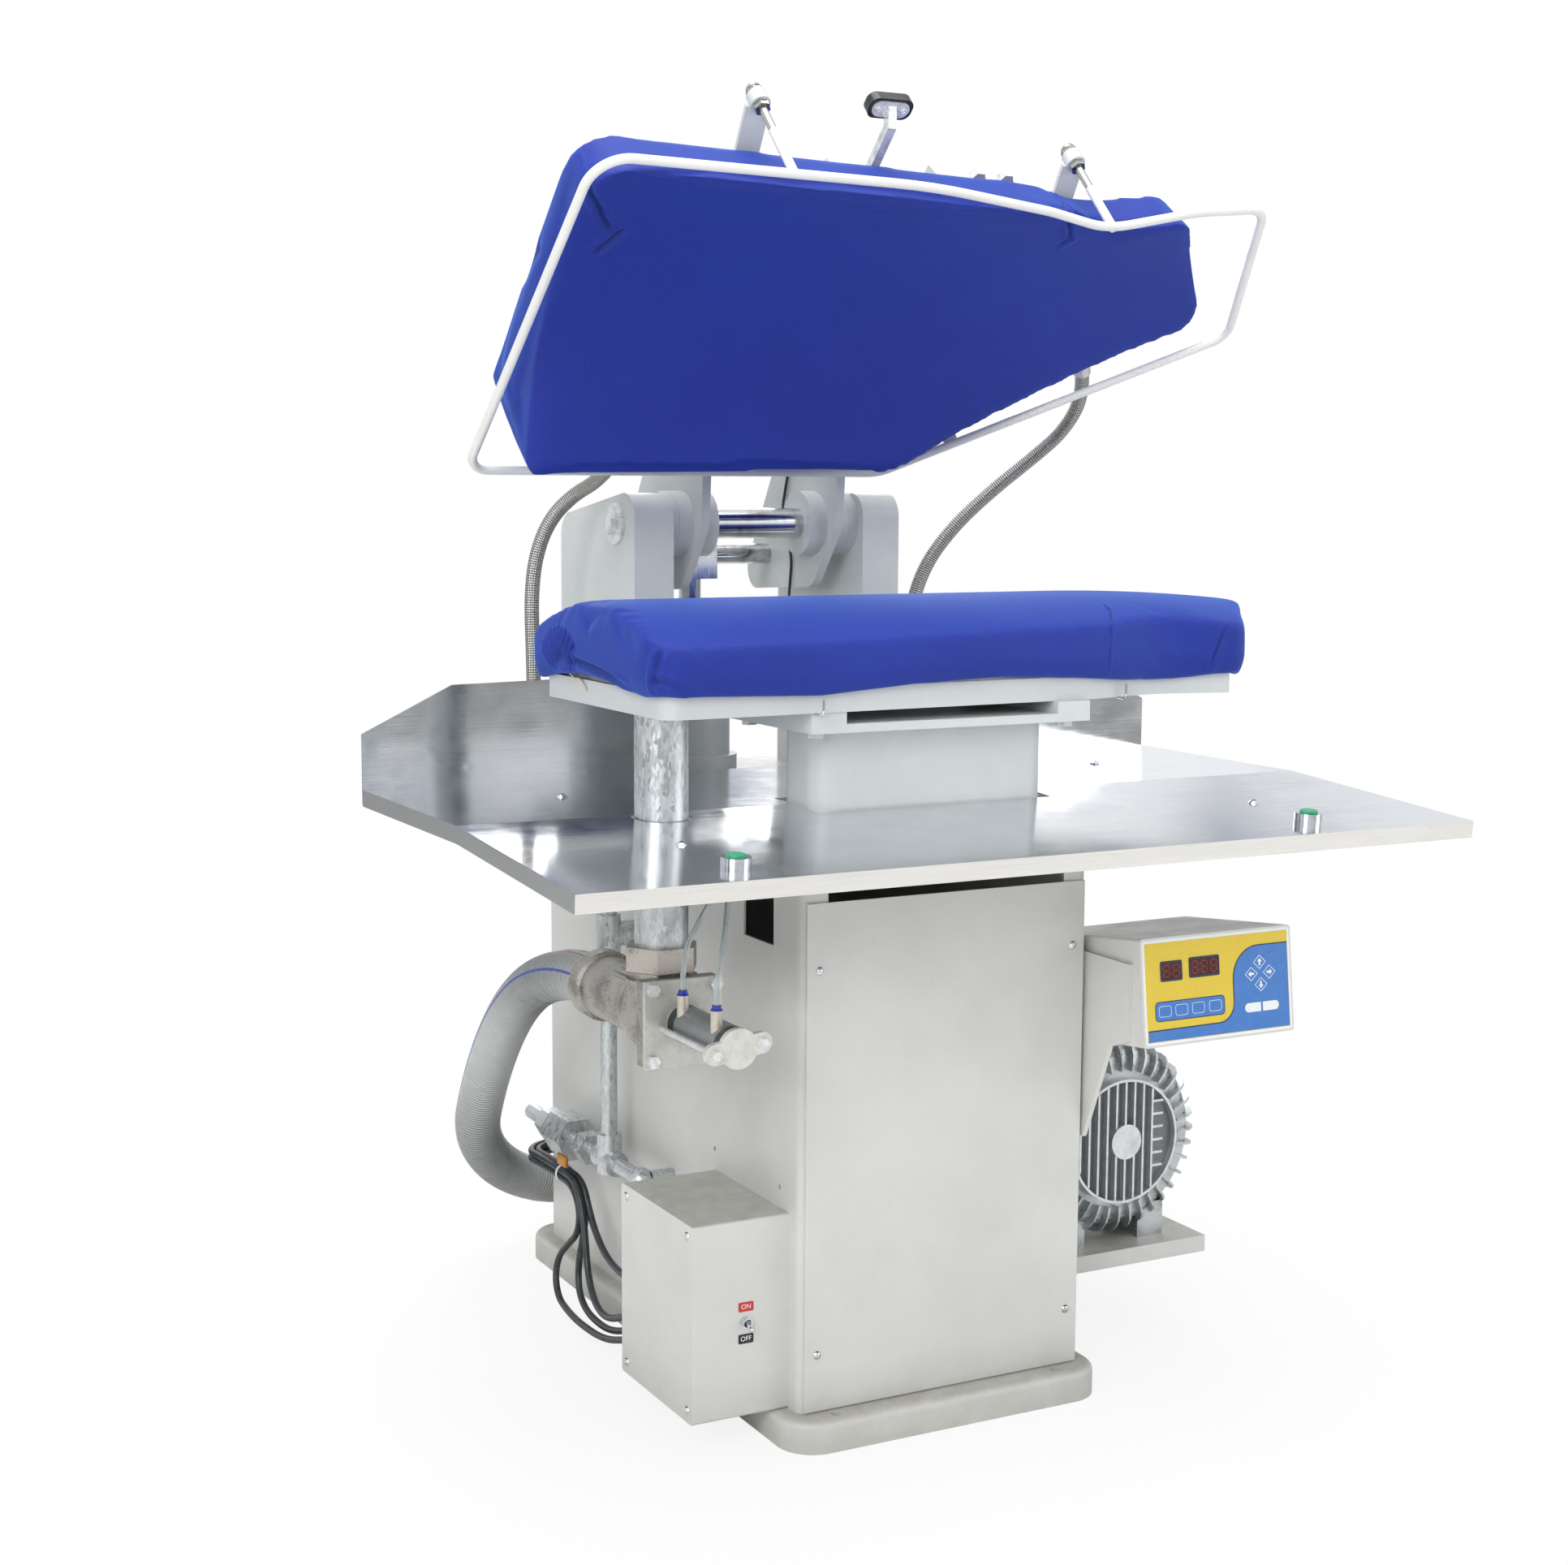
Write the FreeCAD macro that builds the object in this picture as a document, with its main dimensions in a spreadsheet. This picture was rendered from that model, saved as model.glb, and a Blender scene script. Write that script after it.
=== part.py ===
import FreeCAD, Part
import math
import os
import re

import Sketcher
from FreeCAD import Placement, Rotation, Vector

# Steam body press, in millimetres. The origin is the middle of the base's underside,
# +X is the operator's right, +Y points to the rear and +Z up.

# Driving dimensions
SIZES = {
    # base casting
    "base_width": 430, "base_depth": 832, "base_height": 38, "base_corner": 45, "base_round": 10,
    "base_wall": 14, "base_end": 36, "base_roof": 12, "base_rib": 24,
    "anchor_hole": 7, "anchor_inset_x": 63, "anchor_inset_y": 20,
    # column and its front panel
    "column_half": 194, "column_front": 383, "column_rear": 362, "column_top": 700, "column_wall": 3,
    "column_edge": 12, "window_half": 160, "window_low": 80, "window_high": 690,
    "notch_front": 315, "notch_rear": 238, "notch_low": 577, "cable_hole": 16, "cable_y": 336, "cable_z": 176,
    "wall_hole": 3, "wall_hole_y": 162, "wall_hole_z": 298, "wall_hole_step_y": 171, "wall_hole_step_z": 2,
    "panel_half": 188, "panel_sheet": 3, "panel_lift": 2, "panel_top": 636,
    "panel_screw_x": 172, "panel_screw_low": 107, "panel_screw_high": 558,
    "screw_shank": 2.5, "screw_head": 5, "screw_crown": 3,
    # deck, table frame and table
    "deck_plate": 8, "beam_high": 28, "beam_wide": 28, "beam_front": 247, "beam_rear": 144, "beam_half": 400,
    "bar_inner": 371, "bar_wide": 26, "bar_deep": 20, "bar_reach": 240,
    "table_half": 570, "table_rear": 29, "table_seam": 299, "table_front": 329, "table_slope": 4,
    "table_sheet": 2, "table_fold": 20, "seam_gap": 0.5, "cutout_room": 4,
    "table_screw_x": 379, "table_screw_rear": 130, "table_screw_front": 161,
    "dome_shank": 3, "dome_head": 7, "dome_crown": 4, "dome_grip": 14,
    "splash_inner": 205, "splash_end": 67, "splash_shoulder": 122, "splash_high": 126,
    "splash_shoulder_x": 456, "splash_skirt": 18, "splash_sheet": 2,
    "button_x": 370, "button_y": 271, "button_ring": 16, "button_neck": 13.5, "button_rise": 11,
    "button_tail": 24, "button_nut": 18, "button_cap": 10.5, "button_proud": 3, "cap_round": 1.5,
    "running_gap": 0.05, "hole_gap": 0.1, "soft_gap": 0.3,
    # pedestal and saddle
    "pedestal_half": 156, "pedestal_front": 349, "pedestal_rear": 252, "pedestal_top": 828,
    "pedestal_edge": 28,
    "saddle_half": 187, "saddle_front": 390, "saddle_rear": 175, "saddle_plate": 10, "saddle_block": 45,
    "saddle_rise": 14, "saddle_bolt": 5, "saddle_bolt_x": 168, "saddle_bolt_inset": 25,
    "bolt_across": 17, "bolt_head": 7,
    # buck, lower half: plan corners, tray, platen and padded cover
    "buck_left": 392, "buck_front": 424, "buck_back": 40, "buck_corner": 40,
    "waist_x": 205, "waist_y": 398, "waist_round": 300, "neck_x": 303, "neck_y": 372, "neck_round": 120,
    "nose_x": 412, "nose_y": 398, "nose_round": 25, "tip_x": 520, "tip_y": 246, "tip_round": 30,
    "taper_x": 105, "taper_y": 47, "taper_round": 150,
    "crown_radius": 396, "crown_y": 240, "crown_high": 120, "press_gap": 4,
    "tray_inset": 20, "tray_sheet": 3, "tray_high": 28, "platen_inset": 3, "pad_thick": 22,
    "hem_rise": 16, "hem_draw": 6, "hem_bevel": 22, "pad_round": 9,
    "hook_wire": 1.5, "hook_left": 182, "hook_left_inset": 15, "hook_right": 250, "hook_right_proud": 2,
    "hook_reach": 18,
    # cheeks, main shaft and lift cylinder
    "cheek_inner": 139, "cheek_outer": 194, "cheek_front": 73, "cheek_back": 317, "cheek_top": 1096,
    "cheek_top_back": 1059, "cheek_round": 32, "boss_radius": 42.5, "boss_face": 125,
    "pivot_y": 128, "pivot_z": 1051, "open_angle": 55.5, "shaft_radius": 20,
    "washer_radius": 26.5, "washer_thick": 5, "shaft_bolt_across": 24, "shaft_bolt_head": 9,
    "cylinder_x": -30, "cylinder_y": 255, "cylinder_cap": 65, "cylinder_cap_high": 25, "cylinder_outer": 55,
    "cylinder_bore": 48, "cylinder_barrel": 172, "rod_radius": 15, "piston_high": 25, "piston_start": 5,
    "yoke_thick": 40, "yoke_rim": 14, "slot_half": 31, "slot_room": 3.5,
    # lift arms and link shaft, drawn with the head closed
    "arm_inner": 92, "arm_plate": 12, "arm_boss_inner": 68, "side_gap": 0.3,
    "arm_front_y": 397, "arm_front_depth": 36, "arm_crown_y": 148, "arm_crown_z": 1185, "arm_tail_y": 330,
    "arm_tail_z": 1174, "arm_heel_y": 199, "arm_heel_z": 1003, "arm_sole_y": 96, "arm_sole_z": 997,
    "arm_throat_y": 64, "arm_round": 28, "link_radius": 14, "link_y": 241, "link_z": 1136,
    "link_collar": 21, "link_collar_thick": 6,
    # head, upper half, drawn closed
    "head_overhang": 8, "back_y": 424, "back_z": 1016, "back_slope": 11.31, "back_proud": 2,
    "head_corner": 10, "head_back_y": 64, "head_lean": 52, "head_pad": 14, "head_skirt": 110, "pad_open": 1,
    # hand guard, handle and bolts, drawn in the frame of the head's back
    "guard_tube": 5.5, "guard_plane": 105, "guard_front": 52, "guard_left": 413, "guard_left_back": 438,
    "guard_depth": 474, "guard_corner": 45, "guard_mid_x": 7, "guard_mid": 10, "guard_waist_x": 181,
    "guard_waist": 34, "guard_neck_x": 272, "guard_neck": 54, "guard_flare_x": 388, "guard_flare": 20,
    "guard_right_x": 484, "guard_right": 8, "guard_tip_x": 548, "guard_tip": 216, "guard_taper_x": 130,
    "guard_soft": 120, "guard_nose": 26, "guard_back_round": 60, "guard_mid_round": 900,
    "guard_waist_round": 300,
    "post_left": 174, "post_right": 281, "post_shift": 2, "post_thread": 5, "post_plain": 74,
    "post_nut_across": 17, "post_nut": 8, "bush_radius": 12, "bush_high": 17, "bush_low": 14, "dome_nut": 10,
    "strip_wide": 30, "strip_thick": 5, "strip_foot": 70, "strip_start": 20, "strip_web": 3,
    "strip_shift": 50, "strip_step": 3, "strip_lap": 6,
    "stay_x": 220, "stay_wide": 20, "stay_foot": 110, "stay_back": 372,
    "handle_x": -4, "handle_wide": 11, "handle_thick": 11, "handle_reach": 39, "handle_foot": 70,
    "handle_rise": 20, "handle_bend": 45,
    "grip_long": 58, "grip_deep": 28, "grip_thick": 14, "grip_round": 11, "grip_edge": 2,
    "stud_left": -59, "stud_right": 144, "stud_end": 184, "stud_inset": 24, "stud_across": 17,
    "stud_head": 11,
    # steam hoses on the head
    "hose_radius": 9.5, "fitting_radius": 12, "fitting_reach": 36, "fitting_across": 27, "fitting_nut": 16,
    "hose_left_x": -215, "hose_left_z": 1030, "hose_right_along": 0.337, "hose_right_z": 1016,
    "outlet_x": 254, "outlet_y": 150, "outlet_low": 790, "outlet_high": 826,
    "inlet_x": -289, "inlet_y": 180, "inlet_low": 664, "inlet_high": 702,
    # suction pipe and valve
    "suction_x": -338.5, "suction_y": -321, "suction_radius": 30.2, "suction_bore": 26.5, "suction_low": 560,
    "union_across": 75, "union_low": 566, "union_high": 593,
    "valve_z": 515, "valve_radius": 37, "valve_neck": 36, "valve_bore": 28, "valve_front": 374,
    "valve_back": 159,
    "plate_half_x": 47, "plate_half_z": 49, "plate_thick": 6, "plate_bolt_x": 38, "plate_bolt_z": 40,
    "plate_bolt": 4, "plate_bolt_across": 13, "plate_bolt_head": 6,
    "flange_radius": 42, "flange_thick": 25, "flange_stub": 26.5, "flange_wall": 3,
    "air_radius": 21, "air_bore": 17, "air_long": 128, "ear_thick": 8, "ear_high": 11.5,
    "ear_rim": 1, "tie_rod": 3.5, "tie_offset": 28, "tie_turn": 8, "tie_nut_across": 10, "tie_nut": 6,
    "plug_disc": 26, "plug_thick": 12, "plug_rod": 6,
    "plug_start": 24, "push_radius": 6.5, "push_high": 16, "push_collar": 5, "push_front": 24,
    "push_back": 20, "push_side": 11, "push_top": 4, "tube_radius": 3,
    "suction_hose": 31, "suction_hose_wall": 4, "hose_groove": 1.2, "hose_ribs": 56,
    # air valve under the deck
    "air_valve_x": -150, "air_valve_y": -278, "air_valve_long": 60, "air_valve_wide": 50,
    "air_valve_high": 46,
    # steam riser
    "riser_x": -238, "riser_y": 60, "riser_pipe": 10.7, "riser_low": 231, "riser_top": 706, "riser_tee": 529,
    "tee_radius": 16, "tee_half": 26, "riser_back": 330, "riser_front": -40, "riser_union_across": 38,
    "valve_block_across": 54, "valve_block_long": 60, "riser_cap_across": 30, "riser_cap": 16,
    # switch box and toggle
    "box_left": 316, "box_front": 358, "box_back": 161, "box_low": 38.3, "box_high": 272, "box_wall": 2,
    "cover_sheet": 2, "cover_screw_inset": 14, "box_corner": 4,
    "toggle_x": -250, "toggle_z": 151, "toggle_bush": 6, "toggle_bush_high": 6, "toggle_nut": 14,
    "toggle_lever": 2, "toggle_long": 17, "toggle_tilt": 14, "toggle_pin": 1.6, "toggle_pin_half": 4,
    "toggle_root": 1, "toggle_knob": 2.8, "toggle_nut_high": 3, "toggle_tail": 14, "throat_rim": 1,
    "cord_radius": 4.5, "cord_apart": 9.6, "cord_exit": 28, "cord_turn": 29, "gland_radius": 7.5,
    "gland_long": 12,
    "gland_x": -264, "gland_z": 58, "gland_step": 20, "gland_stagger": 8, "gland_lead": 18,
    # control box
    "control_left": 200, "control_wide": 222, "control_deep": 202, "control_high": 128, "control_tilt": 6.6,
    "control_front": 481, "control_top": 579, "face_margin": 6, "face_thick": 0.8,
    "bracket_low": 320, "bracket_step_y": 434, "bracket_step_z": 442, "bracket_nose": 470, "bracket_top": 548,
    "bracket_back": 290, "bracket_lip": 14,
    # side-channel blower and its shelf
    "blower_x": 349, "blower_z": 262, "blower_front": 250, "blower_radius": 129, "blower_deep": 104,
    "blower_inner": 74, "blower_ring": 122, "blower_round": 22, "chamber_radius": 108, "chamber_deep": 56,
    "fin_high": 9, "fin_thick": 3, "fin_count": 36, "fin_start": 90, "fin_run": 44, "fin_round": 29,
    "lid_radius": 82, "lid_thick": 10, "lid_fin": 8, "lid_rim": 3,
    "lid_fin_thick": 3, "lid_fin_step": 14, "hub_radius": 23, "hub_high": 11,
    "stub_long": 17, "stub_step": 17.2, "stub_top": 50, "rim_lap": 0.5,
    "impeller_radius": 104, "impeller_hub": 26, "impeller_plate": 10, "impeller_gap": 4, "blade_count": 24,
    "blade_long": 26, "blade_thick": 4, "blade_root": 2, "spindle": 9, "spindle_in_motor": 20,
    "motor_radius": 74, "motor_long": 190, "motor_fin": 9, "motor_fin_thick": 3, "motor_fins": 20,
    "cowl_long": 48, "foot_half": 62, "foot_deep": 84, "foot_wide": 40, "foot_top": 96,
    "port_x": 250, "port_z": 190, "port_radius": 26, "port_long": 34, "port_start": 40, "port_boss": 12,
    "shelf_right": 478, "shelf_front": 264, "shelf_back": 90, "shelf_top": 120,
    "shelf_plate": 4, "shelf_lip": 22, "shelf_brace": 70,
}

doc = FreeCAD.newDocument("steam_body_press")
sheet = doc.addObject("Spreadsheet::Sheet", "Sizes")
for row, (alias, value) in enumerate(SIZES.items(), start=1):
    sheet.set("A%d" % row, alias)
    sheet.set("B%d" % row, str(value))
    sheet.setAlias("B%d" % row, alias)
doc.recompute()


class Values:
    """The sheet's values, for the shapes that are set in code."""


s = Values()
for alias in SIZES:
    setattr(s, alias, float(getattr(sheet, alias)))

NODES = []
AT = ("Placement.Base.x", "Placement.Base.y", "Placement.Base.z")
WAYS = {
    "+Z": Rotation(),
    "-Z": Rotation(Vector(1, 0, 0), 180),
    "+X": Rotation(Vector(0, 1, 0), 90),
    "-X": Rotation(Vector(0, 1, 0), -90),
    "+Y": Rotation(Vector(1, 0, 0), -90),
    "-Y": Rotation(Vector(1, 0, 0), 90),
}


# Helpers for bound objects
def formula(text):
    """Puts the sheet's name in front of each size in an expression."""
    return re.sub(r"[a-z_]+", lambda word: "Sizes." + word[0] if word[0] in SIZES else word[0], text)


def bind(piece, properties, formulas):
    for name, text in zip(properties, formulas):
        piece.setExpression(name, formula(text))


def block(name, size, corner):
    piece = doc.addObject("Part::Box", name)
    bind(piece, ("Length", "Width", "Height") + AT, size + corner)
    return piece


def rod(name, radius, length, start, way="+Z"):
    piece = doc.addObject("Part::Cylinder", name)
    piece.Placement = Placement(Vector(), WAYS[way])
    bind(piece, ("Radius", "Height") + AT, (radius, length) + start)
    return piece


def hexagon(name, across, length, start, way="+Z"):
    piece = doc.addObject("Part::Prism", name)
    piece.Polygon = 6
    piece.Placement = Placement(Vector(), WAYS[way])
    bind(piece, ("Circumradius", "Height") + AT, ("(%s) / sqrt(3)" % across, length) + start)
    return piece


def join(name, *pieces):
    result = doc.addObject("Part::MultiFuse", name)
    result.Shapes = list(pieces)
    return result


def cut(name, base, *tools):
    result = doc.addObject("Part::Cut", name)
    result.Base = base
    result.Tool = tools[0] if len(tools) == 1 else join(name + "_tools", *tools)
    return result


def group(name, *pieces):
    result = doc.addObject("Part::Compound", name)
    result.Links = list(pieces)
    return result


def round_off(name, base, radius, chosen):
    """Rounds the edges of base that pass the test."""
    doc.recompute()
    result = doc.addObject("Part::Fillet", name)
    result.Base = base
    result.Edges = [(i, radius, radius) for i, edge in enumerate(base.Shape.Edges, start=1) if chosen(edge)]
    return result


def along(edge, axis):
    """True for a straight edge along the axis: 0 is X, 1 is Y and 2 is Z."""
    if edge.Curve.TypeId != "Part::GeomLine":
        return False
    return abs(edge.Curve.Direction[axis]) > 0.999


def node(label, piece):
    """Names a finished sub-part."""
    piece.Label = label
    NODES.append(piece)
    return piece


def feature(name, shape):
    piece = doc.addObject("Part::Feature", name)
    piece.Shape = shape
    return piece


# Helpers for bodies with sketches
def start_body(name):
    return doc.addObject("PartDesign::Body", name)


def sketch_on(body, role, offset="0", corners=(), circles=()):
    """A sketch on an origin plane: one closed outline of straight lines, and circles."""
    plane = next(item for item in body.Origin.OriginFeatures if item.Role == role)
    sketch = body.newObject("Sketcher::SketchObject", body.Name + "_sketch")
    sketch.AttachmentSupport = [(plane, "")]
    sketch.MapMode = "FlatFace"
    sketch.setExpression("AttachmentOffset.Base.z", formula(offset))
    count = len(corners)
    for i in range(count):
        turn = [2 * math.pi * k / count for k in (i, i + 1)]
        ends = [Vector(100 * math.cos(a), 100 * math.sin(a), 0) for a in turn]
        sketch.addGeometry(Part.LineSegment(*ends), False)
    for i in range(count):
        sketch.addConstraint(Sketcher.Constraint("Coincident", i, 2, (i + 1) % count, 1))
    for i, corner in enumerate(corners):
        pin_point(sketch, i, 1, corner)
    for x, y, radius in circles:
        ring = sketch.addGeometry(Part.Circle(Vector(), Vector(0, 0, 1), 5), False)
        pin_point(sketch, ring, 3, (x, y))
        size = sketch.addConstraint(Sketcher.Constraint("Radius", ring, 5))
        sketch.setExpression("Constraints[%d]" % size, formula(radius))
    doc.recompute()
    return sketch


def pin_point(sketch, geometry, point, place):
    for kind, text in zip(("DistanceX", "DistanceY"), place):
        index = sketch.addConstraint(Sketcher.Constraint(kind, -1, 1, geometry, point, 1.0))
        sketch.setExpression("Constraints[%d]" % index, formula(text))


def pad(body, sketch, length, kind="PartDesign::Pad", backwards=False):
    result = body.newObject(kind, body.Name + "_" + kind.split("::")[1].lower())
    result.Profile = sketch
    result.Reversed = backwards
    result.setExpression("Length", formula(length))
    doc.recompute()
    return result


def round_body(body, base, radius, chosen):
    names = ["Edge%d" % i for i, edge in enumerate(base.Shape.Edges, start=1) if chosen(edge)]
    result = body.newObject("PartDesign::Fillet", body.Name + "_round")
    result.Base = (base, names)
    result.setExpression("Radius", formula(radius))
    doc.recompute()
    return result


# Frames that pieces are drawn in
def on_slope(piece):
    """Places a piece drawn flat on the sloping front of the table."""
    piece.Placement = Placement(Vector(), Rotation(Vector(1, 0, 0), 1))
    piece.setExpression("Placement.Rotation.Angle", formula("table_slope"))
    bind(piece, AT[1:], ("-table_seam", TABLE_TOP))
    return piece


def swing_open(piece, y="0", z="0", tilt="0"):
    """Places a piece of the head at rest, from a frame of the closed head at (0, y, z)."""
    piece.Placement = Placement(Vector(), Rotation(Vector(1, 0, 0), 1))
    piece.setExpression("Placement.Rotation.Angle", formula("%s - open_angle" % tilt))
    dy, dz = "((%s) - pivot_y)" % y, "((%s) - pivot_z)" % z
    piece.setExpression(AT[1], formula("pivot_y + %s * cos(open_angle) + %s * sin(open_angle)" % (dy, dz)))
    piece.setExpression(AT[2], formula("pivot_z - %s * sin(open_angle) + %s * cos(open_angle)" % (dy, dz)))
    return piece


def on_back(piece):
    """Places a piece drawn on the head's back: local y runs up the back, local z away from it."""
    return swing_open(piece, "-back_y", "back_z + back_proud / cos(back_slope)", "back_slope")


TABLE_TOP = "(column_top + deck_plate + beam_high + table_sheet)"
DECK_TOP = "(column_top + deck_plate)"
SADDLE_TOP = "(pedestal_top + saddle_plate + saddle_rise)"
table_top = s.column_top + s.deck_plate + s.beam_high + s.table_sheet
deck_top = s.column_top + s.deck_plate
saddle_top = s.pedestal_top + s.saddle_plate + s.saddle_rise


# Helpers for shapes set in code
def rounded_outline(corners):
    """A closed flat wire through corners (x, y, radius), with the corners as arcs."""
    arcs = []
    for i, (x, y, radius) in enumerate(corners):
        here = Vector(x, y, 0)
        before = (Vector(*corners[i - 1][:2], 0) - here).normalize()
        after = (Vector(*corners[(i + 1) % len(corners)][:2], 0) - here).normalize()
        half = before.getAngle(after) / 2
        middle = (before + after).normalize()
        reach = radius / math.tan(half)
        top = here + middle * (radius / math.sin(half) - radius)
        arcs.append((here + before * reach, top, here + after * reach))
    edges = []
    for i, (start, top, end) in enumerate(arcs):
        edges.append(Part.LineSegment(arcs[i - 1][2], start).toShape())
        edges.append(Part.Arc(start, top, end).toShape())
    return Part.Wire(edges)


def prism(wire, low, high):
    return Part.Face(wire).extrude(Vector(0, 0, high - low)).translate(Vector(0, 0, low))


# Bars along X are drawn past both ends of the buck, and cut back to its outline
PAST_ENDS = 700


def bar_x(radius, y, z):
    return Part.makeCylinder(radius, 2 * PAST_ENDS, Vector(-PAST_ENDS, y, z), Vector(1, 0, 0))


def route(points, label, radius):
    """Straight runs and tangent arcs through the points; prints the tightest bend."""
    points = [Vector(*point) for point in points]
    bends = []
    for before, here, after in zip(points, points[1:], points[2:]):
        into = (here - before).normalize()
        out = (after - here).normalize()
        half = into.getAngle(out) / 2
        reach = 0.45 * min((here - before).Length, (after - here).Length)
        bend = reach / math.tan(half)
        side = (out - into).normalize()
        middle = here + side * (bend / math.cos(half) - bend)
        bends.append((here - into * reach, middle, here + out * reach, bend))
    edges = []
    last = points[0]
    for start, middle, end, bend in bends:
        edges.append(Part.LineSegment(last, start).toShape())
        edges.append(Part.Arc(start, middle, end).toShape())
        last = end
    edges.append(Part.LineSegment(last, points[-1]).toShape())
    wire = Part.Wire(edges)
    tightest = min(bend[3] for bend in bends)
    print("%s: length %.0f, tightest bend %.1f, %.1f diameters"
          % (label, wire.Length, tightest, tightest / (2 * radius)))
    return wire


def tube(wire, radius, label):
    start = wire.Edges[0]
    ring = Part.Circle(start.valueAt(start.FirstParameter), start.tangentAt(start.FirstParameter), radius)
    shape = wire.makePipeShell([Part.Wire(ring.toShape())], True, False)
    share = shape.Volume / (math.pi * radius ** 2 * wire.Length)
    print("%s: volume is %.3f of section times length" % (label, share))
    return shape


def turned(points, base, axis):
    """A solid of revolution from (radius, height) points, about the axis through base."""
    outline = Part.makePolygon([Vector(r, 0, h) for r, h in points + points[:1]])
    shape = Part.Face(outline).revolve(Vector(), Vector(0, 0, 1), 360)
    shape.Placement = Placement(Vector(*base), Rotation(Vector(0, 0, 1), Vector(*axis)))
    return shape


# Base casting
base = start_body("base_casting")
plan = [("-base_width / 2", "-base_depth / 2"), ("base_width / 2", "-base_depth / 2"),
        ("base_width / 2", "base_depth / 2"), ("-base_width / 2", "base_depth / 2")]
slab = pad(base, sketch_on(base, "XY_Plane", "0", plan), "base_height")
slab = round_body(base, slab, "base_corner", lambda edge: along(edge, 2))
round_body(base, slab, "base_round", lambda edge: edge.BoundBox.ZMin > s.base_height - 0.01)
HOLLOW_X = "base_wall - base_width / 2"
hollow_size = ("base_width - 2 * base_wall", "base_depth / 2 - base_end - base_rib / 2",
               "base_height - base_roof")
hollow_front = block("base_hollow_front", hollow_size, (HOLLOW_X, "base_end - base_depth / 2", "0"))
hollow_back = block("base_hollow_back", hollow_size, (HOLLOW_X, "base_rib / 2", "0"))
ANCHOR_X = "(base_width / 2 - anchor_inset_x)"
ANCHOR_Y = "(base_depth / 2 - anchor_inset_y)"
anchors = [rod("anchor_%d%d" % (i, k), "anchor_hole", "base_height", (x, y, "0"))
           for i, x in enumerate(("-" + ANCHOR_X, ANCHOR_X))
           for k, y in enumerate(("-" + ANCHOR_Y, ANCHOR_Y))]
node("base_plate", cut("base_plate", base, hollow_front, hollow_back, *anchors))

# Column: a folded sheet open at the top and bottom, with a window behind the front panel
shell = block("column_outside", ("2 * column_half", "column_front + column_rear", "column_top - base_height"),
              ("-column_half", "-column_front", "base_height"))
shell = round_off("column_rounded", shell, s.column_edge,
                  lambda edge: along(edge, 2) and edge.BoundBox.YMax < 0)
inside = block("column_inside",
               ("2 * (column_half - column_wall)", "column_front + column_rear - 2 * column_wall",
                "column_top - base_height"),
               ("column_wall - column_half", "column_wall - column_front", "base_height"))
inside = round_off("column_inside_rounded", inside, s.column_edge - s.column_wall,
                   lambda edge: along(edge, 2) and edge.BoundBox.YMax < 0)
window = block("column_window", ("2 * window_half", "2 * column_wall", "window_high - window_low"),
               ("-window_half", "-column_front - column_wall / 2", "window_low"))
notch = block("column_notch", ("2 * column_wall", "notch_front - notch_rear", "column_top - notch_low"),
              ("-column_half - column_wall / 2", "-notch_front", "notch_low"))
cable_hole = rod("column_cable_hole", "cable_hole", "2 * column_wall",
                 ("-column_half - column_wall / 2", "cable_y", "cable_z"), "+X")
wall_holes = [rod("column_wall_hole_%d" % i, "wall_hole", "2 * column_wall",
                  ("-column_half - column_wall / 2", "-wall_hole_y - %d * wall_hole_step_y" % i,
                   "wall_hole_z - %d * wall_hole_step_z" % i), "+X") for i in range(2)]
PANEL_SCREWS = [("-panel_screw_x", "panel_screw_low"), ("panel_screw_x", "panel_screw_low"),
                ("-panel_screw_x", "panel_screw_high"), ("panel_screw_x", "panel_screw_high")]
screw_holes = [rod("column_screw_hole_%d" % i, "screw_shank", "2 * column_wall",
                   (x, "-column_front - column_wall / 2", z), "+Y") for i, (x, z) in enumerate(PANEL_SCREWS)]
node("column_shell", cut("column_shell", shell, inside, window, notch, cable_hole, *wall_holes, *screw_holes))

# Front panel and its screws
panel = block("panel_sheet_block", ("2 * panel_half", "panel_sheet", "panel_top - base_height - panel_lift"),
              ("-panel_half", "-column_front - panel_sheet", "base_height + panel_lift"))
panel_holes = [rod("panel_hole_%d" % i, "screw_shank", "panel_sheet",
                   (x, "-column_front - panel_sheet", z), "+Y") for i, (x, z) in enumerate(PANEL_SCREWS)]
node("front_panel", cut("front_panel", panel, *panel_holes))


def dome_screw(shank, grip, head, crown):
    """A round-headed screw: the head rises from z = 0 and the shank runs down from it."""
    ball = (head ** 2 + crown ** 2) / (2 * crown)
    low = math.degrees(math.asin((ball - crown) / ball))
    dome = Part.makeSphere(ball, Vector(0, 0, crown - ball), Vector(0, 0, 1), low, 90, 360)
    return dome.fuse(Part.makeCylinder(shank, grip, Vector(0, 0, -grip))).removeSplitter()


def set_screw(shape, place, way):
    copy = shape.copy()
    copy.Placement = Placement(Vector(*place), Rotation(Vector(0, 0, 1), Vector(*way)))
    return copy


# All round-headed screws: of the panel, the table and the switch box's cover
ROUND_SCREWS = []
panel_screw = dome_screw(s.screw_shank, s.panel_sheet + s.column_wall, s.screw_head, s.screw_crown)
panel_face = -s.column_front - s.panel_sheet
for x in (-s.panel_screw_x, s.panel_screw_x):
    for z in (s.panel_screw_low, s.panel_screw_high):
        ROUND_SCREWS.append(set_screw(panel_screw, (x, panel_face, z), (0, -1, 0)))

# Deck on the column
deck = block("deck_block", ("2 * column_half", "column_front + column_rear", "deck_plate"),
             ("-column_half", "-column_front", "column_top"))
deck = round_off("deck_rounded", deck, s.column_edge, lambda edge: along(edge, 2) and edge.BoundBox.YMax < 0)

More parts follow.
